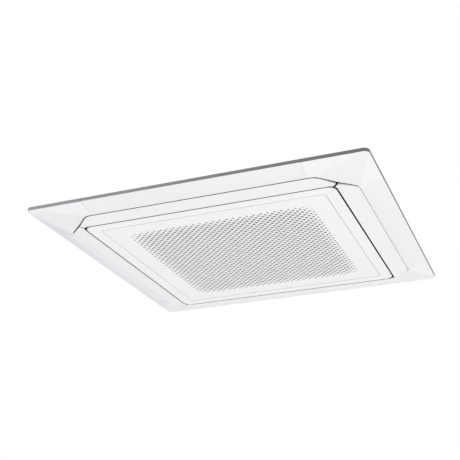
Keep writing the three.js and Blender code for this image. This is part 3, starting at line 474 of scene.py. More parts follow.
class Shape:
    """Closed forms in millimetres, collected into one piece."""

    def __init__(self, welded=True):
        self.vertices, self.faces, self.welded = [], [], welded

    def add(self, vertices, faces, place=HERE):
        base = len(self.vertices)
        self.vertices += [place @ Vector(v) for v in vertices]
        self.faces += [tuple(base + i for i in face) for face in faces]
        return self

    def turned(self, profile, sides, place=HERE):
        """A closed profile of (radius, height) pairs turned about +Z."""
        vertices, rings, faces = [], [], []
        for radius, height in profile:
            count = sides if radius else 1
            rings.append(range(len(vertices), len(vertices) + count))
            vertices += level(ring_of(count, radius), height)
        for a, b in looped(rings):
            for i in range(sides if len(a) + len(b) > 2 else 0):
                j = (i + 1) % sides
                corners = (a[i % len(a)], a[j % len(a)], b[j % len(b)], b[i % len(b)])
                faces.append(tuple(dict.fromkeys(corners)))
        return self.add(vertices, faces, place)

    def solid(self, rings, place=HERE):
        """A form through rings of equal count, capped at both ends."""
        n, last = len(rings[0]), len(rings) - 1
        faces = [range(n - 1, -1, -1), range(last * n, (last + 1) * n)]
        faces += [[k * n + i for i in face] for k in range(last) for face in side_faces(n)]
        return self.add([v for ring in rings for v in ring], faces, place)

    def prism(self, loop, low, high, place=HERE):
        return self.solid([level(loop, low), level(loop, high)], place)

    def block(self, low, high, place=HERE):
        (x0, y0, z0), (x1, y1, z1) = low, high
        return self.prism([(x0, y0), (x1, y0), (x1, y1), (x0, y1)], z0, z1, place)

    def swept(self, points, radius, sides):
        """A round tube along a smooth path, closed at both ends."""
        rings, side = [], None
        for i, point in enumerate(points):
            ahead = (points[min(i + 1, len(points) - 1)] - points[max(i - 1, 0)]).normalized()
            if side is None:
                side = ahead.orthogonal()
            side = (side - ahead * side.dot(ahead)).normalized()
            up = ahead.cross(side)
            rings.append([point + side * x + up * y for x, y in ring_of(sides, radius)])
        return self.solid(rings)

    def lofted(self, loops, closed=True, place=HERE):
        """A ring through loops of equal count, the last joined to the first.
        Open loops are capped at both ends."""
        n, count = len(loops[0]), len(loops)
        faces = []
        for a, b in looped(range(count)):
            for i in range(n if closed else n - 1):
                j = (i + 1) % n
                faces.append((a * n + i, a * n + j, b * n + j, b * n + i))
        if not closed:
            faces += [[a * n for a in range(count)], [a * n + n - 1 for a in reversed(range(count))]]
        return self.add([v for loop in loops for v in loop], faces, place)

    def sheet(self, outline, holes, z):
        """A flat face over any outline, with holes in it."""
        points, loops = [], []
        for loop in (outline, *holes):
            loops.append(range(len(points), len(points) + len(loop)))
            points += [Vector(p) for p in loop]
        flat, _, triangles, *_ = delaunay_2d_cdt(points, [], loops, CDT_LEAVES_HOLES, CDT_WITHIN)
        return self.add(level(flat, z), triangles)

    def walls(self, loops, low, high):
        for loop in loops:
            self.add(level(loop, low) + level(loop, high), side_faces(len(loop)))
        return self

    def piece(self, name, material, body, fold=32):
        """A mesh object on a CAD body, with outward normals, smooth up to a fold in degrees."""
        mesh = bpy.data.meshes.new(name)
        mesh.from_pydata([v * MM for v in self.vertices], [], self.faces)
        bm = bmesh.new()
        bm.from_mesh(mesh)
        if self.welded:
            bmesh.ops.remove_doubles(bm, verts=bm.verts, dist=WELD_WITHIN)
        bmesh.ops.recalc_face_normals(bm, faces=bm.faces)
        bm.normal_update()
        for face in bm.faces:
            face.smooth = fold > 0
        for edge in bm.edges:
            edge.smooth = len(edge.link_faces) == 2 and edge.calc_face_angle(0.0) <= math.radians(fold)
        bm.to_mesh(mesh)
        bm.free()
        mesh.materials.append(MATERIALS[material])
        made = linked(name, mesh)
        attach(made, body)
        return made

    def stands_for(self, node, name, material, slot, fold=32):
        """The piece takes the place of a CAD node, on its body. The slot is not used."""
        made = self.piece(name, material, NODES[node]["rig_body"], fold)
        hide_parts(node)
        return made


def soften(made, width, even=False):
    """Rounds the edges of a piece or a CAD node with modifiers, leaving its mesh as it is."""
    bevel = made.modifiers.new("edge_radius", "BEVEL")
    bevel.width = width * MM
    bevel.segments = 2
    bevel.limit_method = "ANGLE"
    bevel.angle_limit = math.radians(35)
    bevel.use_clamp_overlap = True
    bevel.harden_normals = even


def dress(node, material, edge=None):
    """A CAD node that stays: a finished material, softened edges and evenly lit flat faces."""
    NODES[node].data.materials.clear()
    NODES[node].data.materials.append(MATERIALS[material])
    if edge:
        NODES[node].modifiers.new("weld", "WELD").merge_threshold = 1e-5
        soften(NODES[node], edge)
        NODES[node].modifiers.new("flat_faces", "WEIGHTED_NORMAL")


# ---- Places and outlines, in millimetres ----

def pointing(direction, at):
    """A placement that turns +Z to a direction and moves the origin to a point."""
    turn = Vector(direction).to_track_quat("Z", "Y").to_matrix().to_4x4()
    return Matrix.Translation(Vector(at)) @ turn


def spun(angle):
    return Matrix.Rotation(angle, 4, "Z")


def quarter(i):
    return spun(i * math.pi / 2)


def box_of(node):
    return [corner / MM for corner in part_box(node)]


def arc_profile(steps, at):
    return [at(i * math.pi / 2 / steps) for i in range(steps + 1)]


def fillet(before, corner, after, radius, steps):
    """The arc that rounds a corner between its two neighbours."""
    back, on = (before - corner).normalized(), (after - corner).normalized()
    half = back.angle(on) / 2
    centre = corner + (back + on).normalized() * (radius / math.sin(half))
    arm = corner + back * (radius / math.tan(half)) - centre
    turn = math.copysign(math.pi - 2 * half, -back.cross(on))
    return [centre + Matrix.Rotation(turn * k / steps, 2) @ arm for k in range(steps + 1)]


def filleted(corners, radius, steps):
    """A polygon with every corner rounded."""
    loop = [Vector(c) for c in corners]
    neighbours = zip([loop[-1], *loop], loop, [*loop[1:], loop[0]])
    return [point for before, corner, after in neighbours
            for point in fillet(before, corner, after, radius, steps)]


def four_turns(points):
    """The points turned to all four sides."""
    return [Matrix.Rotation(i * math.pi / 2, 2) @ Vector(p) for i in QUARTERS for p in points]


def round_square(half, radius):
    return filleted(four_turns([(half, half)]), radius, 10)


def cut_square(half, reach):
    return four_turns([(half, reach - half), (reach - half, half)])


def square_rings(rows):
    """Rounded squares, each given by half its side, corner radius and height."""
    return [level(round_square(half, radius), z) for half, radius, z in rows]


def smooth_path(points):
    """Centripetal Catmull-Rom through the points, as the solids' tubes are bent."""
    p = [Vector(q) for q in points]
    p = [p[0] * 2 - p[1]] + p + [p[-1] * 2 - p[-2]]
    path, steps = [], 10
    for i in range(1, len(p) - 2):
        a, b, c, d = p[i - 1:i + 3]
        t = [0.0]
        for u, v in ((a, b), (b, c), (c, d)):
            t.append(t[-1] + math.sqrt((v - u).length))
        for k in range(steps):
            s = t[1] + (t[2] - t[1]) * k / steps

            def part(u, v, first, last):
                return u.lerp(v, (s - t[first]) / (t[last] - t[first]))

            ab, bc, cd = part(a, b, 0, 1), part(b, c, 1, 2), part(c, d, 2, 3)
            path.append(part(part(ab, bc, 0, 2), part(bc, cd, 1, 3), 1, 2))
    return path + [p[-2]]


# ---- Decoration panel ----

PANEL_HALF, PANEL_RADIUS, SEAM, SEAM_GAP = 475, 15, 305, 0.22
MOUTH_HALF, MOUTH_REACH, MOUTH_FILLET = 415.7, 739, 32
# The border's section: the line it follows, how far from that line, and the height.
BORDER = [("rim", 0, 0), ("rim", 0, -8.4), ("rim", 0.12, -8.95), ("rim", 0.45, -9.45),
          ("rim", 1.1, -9.8), ("mouth", 0.8, -25.28), ("mouth", 0.25, -25.25), ("mouth", 0, -25),
          ("lip", 2.3, -24.9), ("lip", 2.3, -23.9), ("rim", 2.5, -7), ("rim", 2.5, 0)]
LIP_CORNER = 1.1      # how much nearer the lip comes at the cut corners
CORNER_STEPS = 8
DIP, DIP_REACH, DIP_STEPS = 1.4, 60, 8      # the hang of a cover's inner edge towards the vanes


def border_distance(kind, offset):
    return {"rim": PANEL_HALF - offset, "mouth": MOUTH_HALF + offset, "lip": MOUTH_HALF - offset}[kind]


def corner_path(kind, offset):
    """Plan of one border line round the corner at +X, +Y, seam to seam."""
    d, steps = border_distance(kind, offset), CORNER_STEPS
    start = SEAM + SEAM_GAP
    if kind == "rim":
        radius = PANEL_RADIUS - offset
        turns = [k * math.pi / 4 / steps for k in (*range(steps + 1), *range(steps, 2 * steps + 1))]
        arc = [(d - radius + radius * math.cos(a), d - radius + radius * math.sin(a)) for a in turns]
    else:
        reach = MOUTH_REACH + (offset * math.sqrt(2) if kind == "mouth" else -LIP_CORNER)
        corners = [(d, start), (d, reach - d), (reach - d, d), (start, d), (0, 0)]
        arc = filleted(corners, MOUTH_FILLET, steps)[steps + 1:3 * (steps + 1)]
    first, second = arc[:steps + 1], arc[steps + 1:]
    a, b = Vector(first[-1]), Vector(second[0])
    between = [a.lerp(b, k / DIP_STEPS) for k in range(1, DIP_STEPS)]
    return [(d, start), *first, *between, *second, (start, d)]


def dipped(kind, x, y):
    """How far a corner cover's inner edge hangs below the mouth at a point."""
    share = min(abs(x - y) / DIP_REACH, 1.0)
    return 0.0 if kind == "rim" else DIP * math.cos(share * math.pi / 2) ** 2


def corner_cover(number):
    loops = [[(x, y, z - dipped(kind, x, y)) for x, y in corner_path(kind, offset)]
             for kind, offset, z in BORDER]
    shape = Shape().lofted(loops, closed=False, place=quarter(number - 1))
    shape.stands_for(f"corner_cover_{number}", f"corner_trim_{number}",
                     "cover_plastic", "panel_white", fold=4)


def panel_body():
    """The border's four sides and the tray over the vanes, with its outlets and walls."""
    shape = Shape()
    end = SEAM - SEAM_GAP
    sides = [[(border_distance(kind, offset), y, z) for y in (-end, end)] for kind, offset, z in BORDER]
    vane_outlet = [(358, -235), (404, -235), (404, 235), (358, 235)]
    motor_slot = [(383, 303.5), (401, 303.5), (401, 314), (383, 314)]
    holes = [round_square(349, 20)]
    for i in QUARTERS:
        shape.lofted(sides, closed=False, place=quarter(i))
        shape.block((-304.7, -420, -24), (304.7, -416.7, -19), quarter(i))
        holes += [[quarter(i).to_2x2() @ Vector(p) for p in hole] for hole in (vane_outlet, motor_slot)]
    outer, inner = cut_square(420, 753.5), cut_square(417.5, 750)
    shape.sheet(outer, holes, -3).sheet(outer, holes, 0).walls([outer, *holes], -3, 0)
    shape.lofted([level(outer, -20.5), level(outer, -2), level(inner, -2), level(inner, -20.5)])
    shape.lofted(square_rings([(351.5, 22.5, -22.6), (351.5, 22.5, -2), (349, 20, -2), (349, 20, -22.6),
                               (349.6, 20.6, -23), (350.9, 21.9, -23)]))
    shape.stands_for("panel_frame", "panel_body", "panel_plastic", "panel_white", fold=30)


# ---- Vanes ----

VANE_NEAR, VANE_FAR, VANE_REACH, VANE_TIP, MITRE = 363, 412.7, 734.9, 20, 4.6
VANE_HIGH, VANE_LOW, VANE_TIP_LOW, BLADE = -26.1, -32.2, -32.35, 3.5
WALL, WALL_TOP = 1.6, -18.6
PIVOT_Y, PIVOT_Z, ARM_X = -392, -19.5, 300


def vane_outline(inset=0.0):
    """Half of a vane's plan on the -Y side, from the near edge round to the far edge."""
    reach = VANE_REACH - inset * math.sqrt(2)
    start = math.acos(-MITRE / VANE_TIP / math.sqrt(2)) - math.pi / 4
    middle = VANE_NEAR - VANE_TIP
    turns = [-math.pi / 2 + (math.pi / 2 - start) * k / 6 for k in range(7)]
    points = [(middle + VANE_TIP * math.cos(a), -middle + VANE_TIP * math.sin(a)) for a in turns]
    mitre = (reach + MITRE) / 2
    far = VANE_FAR - inset
    corner = Vector((reach - far, -far))
    rounded = fillet(corner + Vector((1, 1)), corner, corner - Vector((1, 0)), MOUTH_FILLET - inset, 10)
    return points + [(mitre - MITRE, -mitre)] + [tuple(p) for p in rounded]


def both_sides(path):
    return path + [(-x, y) for x, y in reversed(path)]


def vane_z(y):
    """The blade's underside slopes down from its far edge to its near edge."""
    slope = (VANE_LOW - VANE_HIGH) * (VANE_FAR + y) / (VANE_FAR - VANE_NEAR)
    return max(VANE_HIGH + slope, VANE_TIP_LOW)


def vane(number):
    shape, turn = Shape(welded=False), quarter(number - 1)      # pins and arms touch at an edge
    plan = both_sides(vane_outline())
    shape.solid([[(x, y, vane_z(y) + z) for x, y in plan] for z in (0, BLADE)], turn)
    outer, inner = (both_sides(vane_outline(inset)[8:]) for inset in (0, WALL))
    foot, back = ([(x, y, vane_z(y) + 1) for x, y in path] for path in (outer, inner))
    shape.lofted([foot, level(outer, WALL_TOP), level(inner, WALL_TOP), back], closed=False, place=turn)
    shape.block((-292, -374, -29), (292, -372.4, -24), turn)
    for side in (-1, 1):
        x = side * ARM_X
        shape.block((x - 2, PIVOT_Y - 4.5, -26), (x + 2, PIVOT_Y + 4.5, PIVOT_Z), turn)
        pin = [(0, -2), (4.5, -2), (4.5, 2), (2, 2), (2, 10.1), (1.6, 10.5), (0, 10.5)]
        shape.turned(pin, 24, turn @ pointing((side, 0, 0), (x, PIVOT_Y, PIVOT_Z)))
    made = shape.stands_for(f"vane_{number}", f"vane_blade_{number}", "vane_plastic", "vane_white")
    soften(made, 0.35, even=True)


# ---- Grille frame ----

GRILLE_HALF, GRILLE_RADIUS, GRILLE_LOW, SKIN = 359.5, 24, -32.2, 2.5
NOTCHES = (-224, -196, 196, 224)


def grille_loop(inset, z):
    """A line round the grille that starts at a notch and has points at every notch."""
    loop = round_square(GRILLE_HALF - inset, GRILLE_RADIUS - inset)
    start = next(i for i, p in enumerate(loop) if p.y < -300 and p.x > 0)
    cuts = [(x, -(GRILLE_HALF - inset)) for x in NOTCHES]
    return level([*cuts, *loop[start:], *loop[:start]], z)


def grille_frame():
    shape = Shape()
    low, back, half = GRILLE_LOW, GRILLE_LOW + SKIN, GRILLE_HALF
    shape.lofted(square_rings([(half - 1.3, 22.7, low), (half, 24, low + 1.3), (half, 24, back),
                               (324.3, 10, back), (324.3, 10, low + 0.35), (324.65, 10.35, low)]))
    shape.lofted(square_rings([(331, 14, -30.7), (331, 14, -27.2), (314, 4, -27.2), (314, 4, -29.4),
                               (326, 12, -29.4), (326, 12, -30.7)]))
    upstand = [(0, back - 0.5), (0, back), (3, -26.3), (3.4, -26), (5.2, -26), (5.5, -26.3),
               (5.5, back - 0.5)]
    upstand = [grille_loop(inset, z) for inset, z in upstand]
    total = len(upstand[0])
    for first, last in ((1, 2), (3, total)):
        stretch = [i % total for i in range(first, last + 1)]
        shape.lofted([[loop[i] for i in stretch] for loop in upstand], closed=False)
    for x in (-210, 210):
        shape.block((x - 4, -354, -31.2), (x + 4, -345, -27))
        eye = [(2.3, -4), (3.8, -4), (4, -3.8), (4, 3.8), (3.8, 4), (2.3, 4)]
        shape.turned(eye, 32, pointing((1, 0, 0), (x, -354, -27)))
    shape.stands_for("grille_frame", "grille_surround", "grille_plastic", "panel_white")


# ---- Perforated intake grille ----

HOLE_STEP = 9.85               # half the pitch of the staggered rows
HOLE_ROWS = 27                 # rows each way from the middle
HOLE_HALF = 7.3                # half diagonal of a full hole
HOLE_FADE = (0.74, 0.87, 0.95)  # sizes of the three outermost rings against a full hole
HOLE_LEAST = 0.15              # the field's edge leaves out holes less deep in it than this
HOLE_CORNER = 12               # how squarely the field's corners are filled
HOLE_EDGE = 0.35               # rounded edge of a hole
HOLE_CUT = 0.14                # how much of a side each of a hole's four points loses
PLATE_INSET, PLATE_RADIUS, SEAT_RADIUS = 0.35, 9.5, 9.3


def hole_half(i, j):
    """Half diagonal of the hole in row i, column j. It shrinks near the field's edge."""
    depth = HOLE_ROWS + 1 - (abs(i) ** HOLE_CORNER + abs(j) ** HOLE_CORNER) ** (1 / HOLE_CORNER)
    if (i + j) % 2 or depth <= HOLE_LEAST:
        return 0.0
    ring = min(depth, 3.999)
    sizes = (HOLE_FADE[0] - 0.3, *HOLE_FADE, 1.0)
    low, high = sizes[int(ring)], sizes[int(ring) + 1]
    return HOLE_HALF * (low + (high - low) * (ring - int(ring)))


def hole_loop(x, y, half):
    """A diamond with its four points slightly cut, starting beside the +X point."""
    return [(x + a[0] + (b[0] - a[0]) * t, y + a[1] + (b[1] - a[1]) * t)
            for a, b in looped(ring_of(4, half)) for t in (HOLE_CUT, 1 - HOLE_CUT)]


def perforated_plate():
    """The plate with its field of holes, their edges rounded in front, and the latches' seats."""
    low, high = box_of("grille_panel")
    loops = [round_square(high.x - PLATE_INSET, PLATE_RADIUS)]
    for side in ("left", "right"):
        middle = sum(box_of(f"grille_latch_{side}"), Vector((0, 0, 0))) / 2
        loops.append([(middle.x + x, middle.y + y) for x, y in ring_of(48, SEAT_RADIUS)])
    rows = range(-HOLE_ROWS, HOLE_ROWS + 1)
    spots = [(i * HOLE_STEP, j * HOLE_STEP, hole_half(i, j))
             for i in rows for j in rows if hole_half(i, j)]
    fronts, backs = ([hole_loop(x, y, half - edge) for x, y, half in spots] for edge in (0, HOLE_EDGE))
    shape = Shape().walls(loops, low.z, high.z).walls(backs, low.z + HOLE_EDGE, high.z)
    for front, back in zip(fronts, backs):
        shape.add(level(front, low.z) + level(back, low.z + HOLE_EDGE), side_faces(len(front)))
    shape.sheet(loops[0], loops[1:] + fronts, low.z).sheet(loops[0], loops[1:] + backs, high.z)
    shape.stands_for("grille_panel", "perforated_grille", "perforated_plastic", "panel_white")


# ---- Fan, bell mouth and motor ----

FAN_RADIUS, FAN_INLET, FAN_LOW, SHROUD_RISE, HUB_Z = 240, 192, 52, 46, 197
BLADE_ROOT, BLADES, BLADE_STEPS = 128, 7, 18
NUT_RADIUS, NUT_FACET = 11.9, math.pi / 3


def shroud_curve(lift):
    return lambda a: (FAN_RADIUS - (FAN_RADIUS - FAN_INLET - lift) * math.cos(a),
                      FAN_LOW + (SHROUD_RISE - lift) * math.sin(a))


def bowl_curve(lift):
    return lambda a: (20 + (80 - lift) * math.sin(a), 118 + lift + (77 - lift) * (1 - math.cos(a)))


def mouth_curve(lift):
    return lambda a: (232 - (45 - lift) * math.sin(a), 0.3 + lift + (56 - lift) * (1 - math.cos(a)))


def blade_foot(radius):
    """Height of a blade's foot: it drops to the shroud and then follows it outwards."""
    lift, eye_z, ring_z = 3.2, 146, 68
    inlet = shroud_curve(lift)(0)[0]
    if radius < inlet:
        return eye_z + (ring_z - eye_z) * (radius - BLADE_ROOT) / (inlet - BLADE_ROOT)
    angle = math.acos(min(1.0, (FAN_RADIUS - radius) / (FAN_RADIUS - inlet)))
    return max(ring_z, FAN_LOW + (SHROUD_RISE - lift) * math.sin(angle))


def fan_blade(shape, turn):
    """One backward-leaning blade: a thin aerofoil between its foot and the hub plate."""
    loop = []
    for sign, order in ((-1, range(BLADE_STEPS + 1)), (1, range(BLADE_STEPS, -1, -1))):
        for k in order:
            t = k / BLADE_STEPS
            radius = BLADE_ROOT + t * (FAN_RADIUS - 3 - BLADE_ROOT)
            lean = 0.9 * t * (1.3 - 0.3 * t)
            thick = 3.2 * math.sin(math.pi * (0.06 + 0.88 * t)) / radius
            angle = turn + lean + sign * thick
            loop.append((radius * math.cos(angle), radius * math.sin(angle), blade_foot(radius)))
    n = len(loop)
    faces = side_faces(n)
    for a in range(BLADE_STEPS):
        b = n - 1 - a
        faces += [(a, a + 1, b - 1, b), (n + b, n + b - 1, n + a + 1, n + a)]
    shape.add(loop + level(loop, HUB_Z + 1), faces)


def turbo_fan():
    shroud = arc_profile(14, shroud_curve(0)) + arc_profile(14, shroud_curve(3.4))[::-1]
    bowl, dish = arc_profile(14, bowl_curve(0)), arc_profile(14, bowl_curve(2.6))[::-1]
    plate = [(FAN_RADIUS, HUB_Z), (FAN_RADIUS, HUB_Z + 2.6), (97, HUB_Z + 2.6)]
    hub = [(6.4, 112), (16, 112), *bowl, *plate, *dish, (16, 136), (6.4, 136)]
    shape = Shape().turned(shroud, 96).turned(hub, 96)
    for i in range(BLADES):
        fan_blade(shape, 2 * math.pi * i / BLADES)
    shape.stands_for("turbo_fan", "fan_wheel", "fan_plastic", "fan_plastic")


def bell_mouth():
    profile = [(239.8, 0.3), *arc_profile(16, mouth_curve(0)), *arc_profile(16, mouth_curve(2.4))[::-1],
               (239.8, 2.7)]
    shape = Shape().turned(profile, 128)
    shape.stands_for("bell_mouth", "bell_mouth_ring", "fan_plastic", "fan_plastic")


def fan_motor():
    profile = [(6.8, 147), (14, 145.4), (40, 145.2), (62, 148.6), (67, 151), (69.6, 156), (69.9, 160)]
    for k in range(6):
        z = 166 + 7 * k
        profile += [(69.9, z), (68.4, z + 0.6), (68.4, z + 2.2), (69.9, z + 2.8)]
    profile += [(69.9, 213), (68, 217), (62, 223.6), (30, 225.8), (6.8, 225.8)]
    Shape().turned(profile, 72).stands_for("fan_motor", "fan_motor_can", "motor_steel", "sheet_steel")


def shaft_and_nut():
    shaft = Shape().turned([(0, 104), (5.2, 104), (6, 104.8), (6, 218), (0, 218)], 32)
    shaft.stands_for("motor_shaft", "fan_shaft", "screw_zinc", "sheet_steel")
    profile = [(6.3, 105.1), (9.6, 105.1), (10.3, 105.6), (10.3, 111), (9.6, 111.5), (6.3, 111.5)]
    nut = Shape().turned(profile, 48)
    for v in nut.vertices:
        if v.xy.length > 9.9:
            angle = math.atan2(v.y, v.x)
            local = (angle + NUT_FACET) % NUT_FACET - NUT_FACET / 2
            v.xy = v.xy.normalized() * (NUT_RADIUS * math.cos(NUT_FACET / 2) / math.cos(local))
    nut.stands_for("fan_nut", "fan_nut_hex", "screw_zinc", "sheet_steel")


# ---- Heat exchanger ----

COIL_HALF, COIL_DEPTH, COIL_RADIUS, COIL_LOW, COIL_HIGH = 320, 44, 70, 36, 230
COIL_SIDE = COIL_HALF - COIL_RADIUS
FIN_PITCH, FIN_THICK = 3.0, 0.2
TUBES, TUBE_PITCH, TUBE_ROWS, TUBE_RADIUS = 8, 23.7, (-11, 11), 4.2


def coil_side(turn):
    """Where one side's fins begin and end: the coil is open at the pipe corner."""
    return -COIL_SIDE + 22 * (turn == 0), COIL_SIDE - 22 * (turn == 3), quarter(turn + 2)


def fin_pack():
    """Upright fins round the fan, with the tubes that run through them."""
    shape = Shape()
    bends = round(COIL_RADIUS * math.pi / 2 / FIN_PITCH)
    for turn in QUARTERS:
        start, end, rotate = coil_side(turn)
        count = round((end - start) / FIN_PITCH)
        places = [(COIL_HALF, start + (end - start) * k / count, 0) for k in range(count + 1)]
        places = [Matrix.Translation(place) for place in places]
        if turn < 3:
            centre = Matrix.Translation((COIL_SIDE, COIL_SIDE, 0))
            out = Matrix.Translation((COIL_RADIUS, 0, 0))
            places += [centre @ spun(math.pi / 2 * k / bends) @ out for k in range(1, bends)]
        for place in places:
            x, y, gap = COIL_DEPTH / 2 - 0.2, FIN_THICK, 0.2
            shape.block((-x, -y, COIL_LOW + gap), (x, y, COIL_HIGH - gap), rotate @ place)
    for k in range(TUBES):
        z = COIL_LOW + 14 + k * TUBE_PITCH
        for row in TUBE_ROWS:
            path = []
            for turn in QUARTERS:
                start, end, rotate = coil_side(turn)
                stops = (start, (start + end) / 2, end)
                path += [rotate @ Vector((COIL_HALF + row, y, z)) for y in stops]
                if turn < 3:
                    r = COIL_RADIUS + row
                    arc = [(COIL_SIDE + r * math.cos(a), COIL_SIDE + r * math.sin(a), z)
                           for a in (math.pi / 8, math.pi / 4, math.pi * 3 / 8)]
                    path += [rotate @ Vector(p) for p in arc]
            shape.swept(path, TUBE_RADIUS, 6)
    shape.stands_for("heat_exchanger", "fin_pack", "fin_metal", "fins", fold=0)


# ---- Pipes, drain and wiring ----

DIAGONAL, PIPE_SHIFT = 334, -14


def out_along(d, height):
    """A point on the line that the pipes take out of the cabinet's corner."""
    return -DIAGONAL - d + PIPE_SHIFT, DIAGONAL + d + PIPE_SHIFT, height


def pipe(kind, radius, height):
    points = [(-335, y, height) for y in (231.2, 259.2, 283.2)]
    points += [out_along(d, height) for d in (2, 22, 42)]
    shape = Shape().swept(smooth_path(points), radius - 0.15, 28)
    shape.stands_for(f"{kind}_pipe", f"{kind}_line", "copper", "copper")


def flare_nut(kind, radius, height):
    place = pointing((-1, 1, 0), out_along(30, height))
    inner, wide = radius + 0.7, radius * 1.75
    body = [(inner, -9.6), (wide * 0.84, -9.6), (wide * 0.86, -9.0), (wide * 0.86, 5.6),
            (wide * 0.72, 8.4), (wide * 0.7, 11.6), (inner, 11.6)]
    shape = Shape().turned(body, 36, place)
    facets = [(0.985, -8.8), (0.985, 5.4), (0.8, 5.4), (0.8, -8.8)]
    shape.lofted([level(ring_of(6, wide * share), z) for share, z in facets], place=place)
    shape.stands_for(f"{kind}_flare_nut", f"{kind}_nut", "brass", "brass")


def drain_parts():
    x, y = -262, 290
    points = [(x, y + 27.5, 122), (x, y + 38, 122), (x + 6, 368, 154), (-231, 404, 160),
              (-231, 448, 160)]
    hose = Shape().swept(smooth_path(points), 10.8, 32)
    hose.stands_for("drain_pipe", "drain_hose_stub", "drain_foam", "foam")
    place = Matrix.Translation((x, y, 0))
    body = [(0, 40.2), (15.4, 40.2), (16.2, 41.4), (19.4, 51), (19.8, 54), (19.8, 95), (21, 98),
            (26, 100.4), (26.8, 102), (26.8, 136.6), (25.6, 139.4), (22.2, 144.8), (20, 145.8),
            (0, 145.8)]
    pump = Shape().turned(body, 56, place)
    for x, y in ring_of(6, 23.2):
        spot = Matrix.Translation((x, y, 0))
        pump.turned([(0, 98), (2.6, 98.2), (2.6, 101.5), (0, 101.5)], 16, place @ spot)
    pump.stands_for("drain_pump", "drain_pump_case", "pump_plastic", "panel_white")


def wiring_gland():
    place = pointing((1, 0, 0), (420, 200, 150))
    profile = [(6.2, -11.8), (11.6, -11.8), (11.8, -11.4), (11.8, 1.2), (17.5, 1.2), (18.6, 1.8),
               (18.6, 4.6), (14.6, 6.8), (14.6, 14.6), (13, 15.8), (6.2, 15.8)]
    shape = Shape().turned(profile, 64, place)
    for k in range(12):
        shape.block((14.2, -0.9, 7.4), (15.0, 0.9, 14), place @ spun(2 * math.pi * k / 12))
    shape.stands_for("wiring_gland", "cable_gland", "dark_plastic", "dark_plastic")


# ---- Latches and screws ----

def latch_button(side):
    low, high = box_of(f"grille_latch_{side}")
    profile = [(0, 0.35), (6.4, 0.35), (6.9, 0.1), (7.6, 0), (8.5, 0), (8.85, 0.2), (8.98, 0.6),
               (8.98, 2.85), (11.9, 2.85), (11.9, 4.45), (2.7, 4.45), (2.7, 13.4), (1.5, 15.4),
               (0, 15.4)]
    place = Matrix.Translation(((low.x + high.x) / 2, (low.y + high.y) / 2, low.z))
    shape = Shape().turned(profile, 72, place)
    shape.stands_for(f"grille_latch_{side}", f"latch_button_{side}", "button_plastic", "panel_white")


def hex_screw(shape, at, direction, size):
    """A hexagon-washer screw head standing on a face."""
    place = pointing(direction, at) @ Matrix.Scale(size, 4)
    shape.turned([(0, -0.3), (5.2, -0.3), (5.4, 0.1), (5.0, 0.8), (3.6, 1.2), (0, 1.2)], 24, place)
    shape.prism(ring_of(6, 4.0), 0.6, 3.6, place)
    shape.turned([(0, 3.4), (2.9, 3.4), (3.1, 4.1), (2.2, 4.1), (1.9, 3.5), (0, 3.5)], 24, place)


def cabinet_screws():
    """Along the top seam and on the hanger plates."""
    shape = Shape()
    reach = 668 / math.sqrt(2) + 3.3
    for i in QUARTERS:
        turn, diagonal = quarter(i), spun((i + 0.5) * math.pi / 2)
        spots = [(turn, x, 420, 238, 0.8) for x in (-200, -70, 70, 200)]
        spots += [(diagonal, x, reach, z, 0.9) for x in (-37.5, 37.5) for z in (204, 236)]
        for face, x, out, z, size in spots:
            hex_screw(shape, face @ Vector((x, -out, z)), face @ Vector((0, -1, 0)), size)
    shape.piece("cabinet_screws", "screw_zinc", "cassette")


def cover_screws():
    """Heads on the control box cover, seen once the grille swings down."""
    shape = Shape()
    for x in (-140, 0, 140):
        for y in (-335, -258):
            hex_screw(shape, (x, y, -0.6), (0, 0, -1), 0.6)
    shape.piece("cover_screws", "screw_zinc", "cassette")


# ---- Everything is made ----

panel_body()
for corner_number in range(1, 5):
    corner_cover(corner_number)
    vane(corner_number)
grille_frame()
perforated_plate()
turbo_fan()
bell_mouth()
fan_motor()
shaft_and_nut()
fin_pack()
for make_end in (pipe, flare_nut):
    make_end("gas", 7.95, 150)
    make_end("liquid", 4.75, 112)
drain_parts()
wiring_gland()
for latch_side in ("left", "right"):
    latch_button(latch_side)
cabinet_screws()
cover_screws()

# The CAD nodes that stay, by material and edge radius in millimetres.
DRESSED = [
    ("filter_plastic", 0.4, ["filter_frame"]),
    ("filter_net", None, ["filter_mesh"]),
    ("coil_end_metal", None, ["coil_end_1", "coil_end_2"]),
    ("galvanised", 0.3, ["motor_mount", "cabinet_shell", "control_box", "control_box_cover",
                         "pipe_cover"]),
    ("galvanised", 0.4, ["top_plate"]),
    ("white_foam", 1.0, ["insulation_liner"]),
    ("pan_foam", 1.0, ["drain_pan"]),
    ("dark_plastic", 0.3, [f"vane_bearing_{i}" for i in range(1, 5)]),
    ("dark_plastic", 0.4, [f"vane_motor_{i}" for i in range(1, 5)]),
    ("bracket_steel", 0.4, [f"hanger_bracket_{i}" for i in range(1, 5)]),
    ("gasket_foam", 0.4, [f"outlet_gasket_{i}" for i in range(1, 5)]),
    ("button_plastic", 0.3, ["latch_catch_left", "latch_catch_right", "grille_hinge_left",
                             "grille_hinge_right"]),
]
for finish, edge_radius, node_names in DRESSED:
    for node_name in node_names:
        dress(node_name, finish, edge_radius)


# ---- Camera ----

CAMERA_PLACE = (0.86964, -2.45122, -1.06768)
CAMERA_AZIMUTH, CAMERA_ELEVATION, CAMERA_ROLL = 20.7888, -23.2292, -0.41
CAMERA_LENS = 73.45


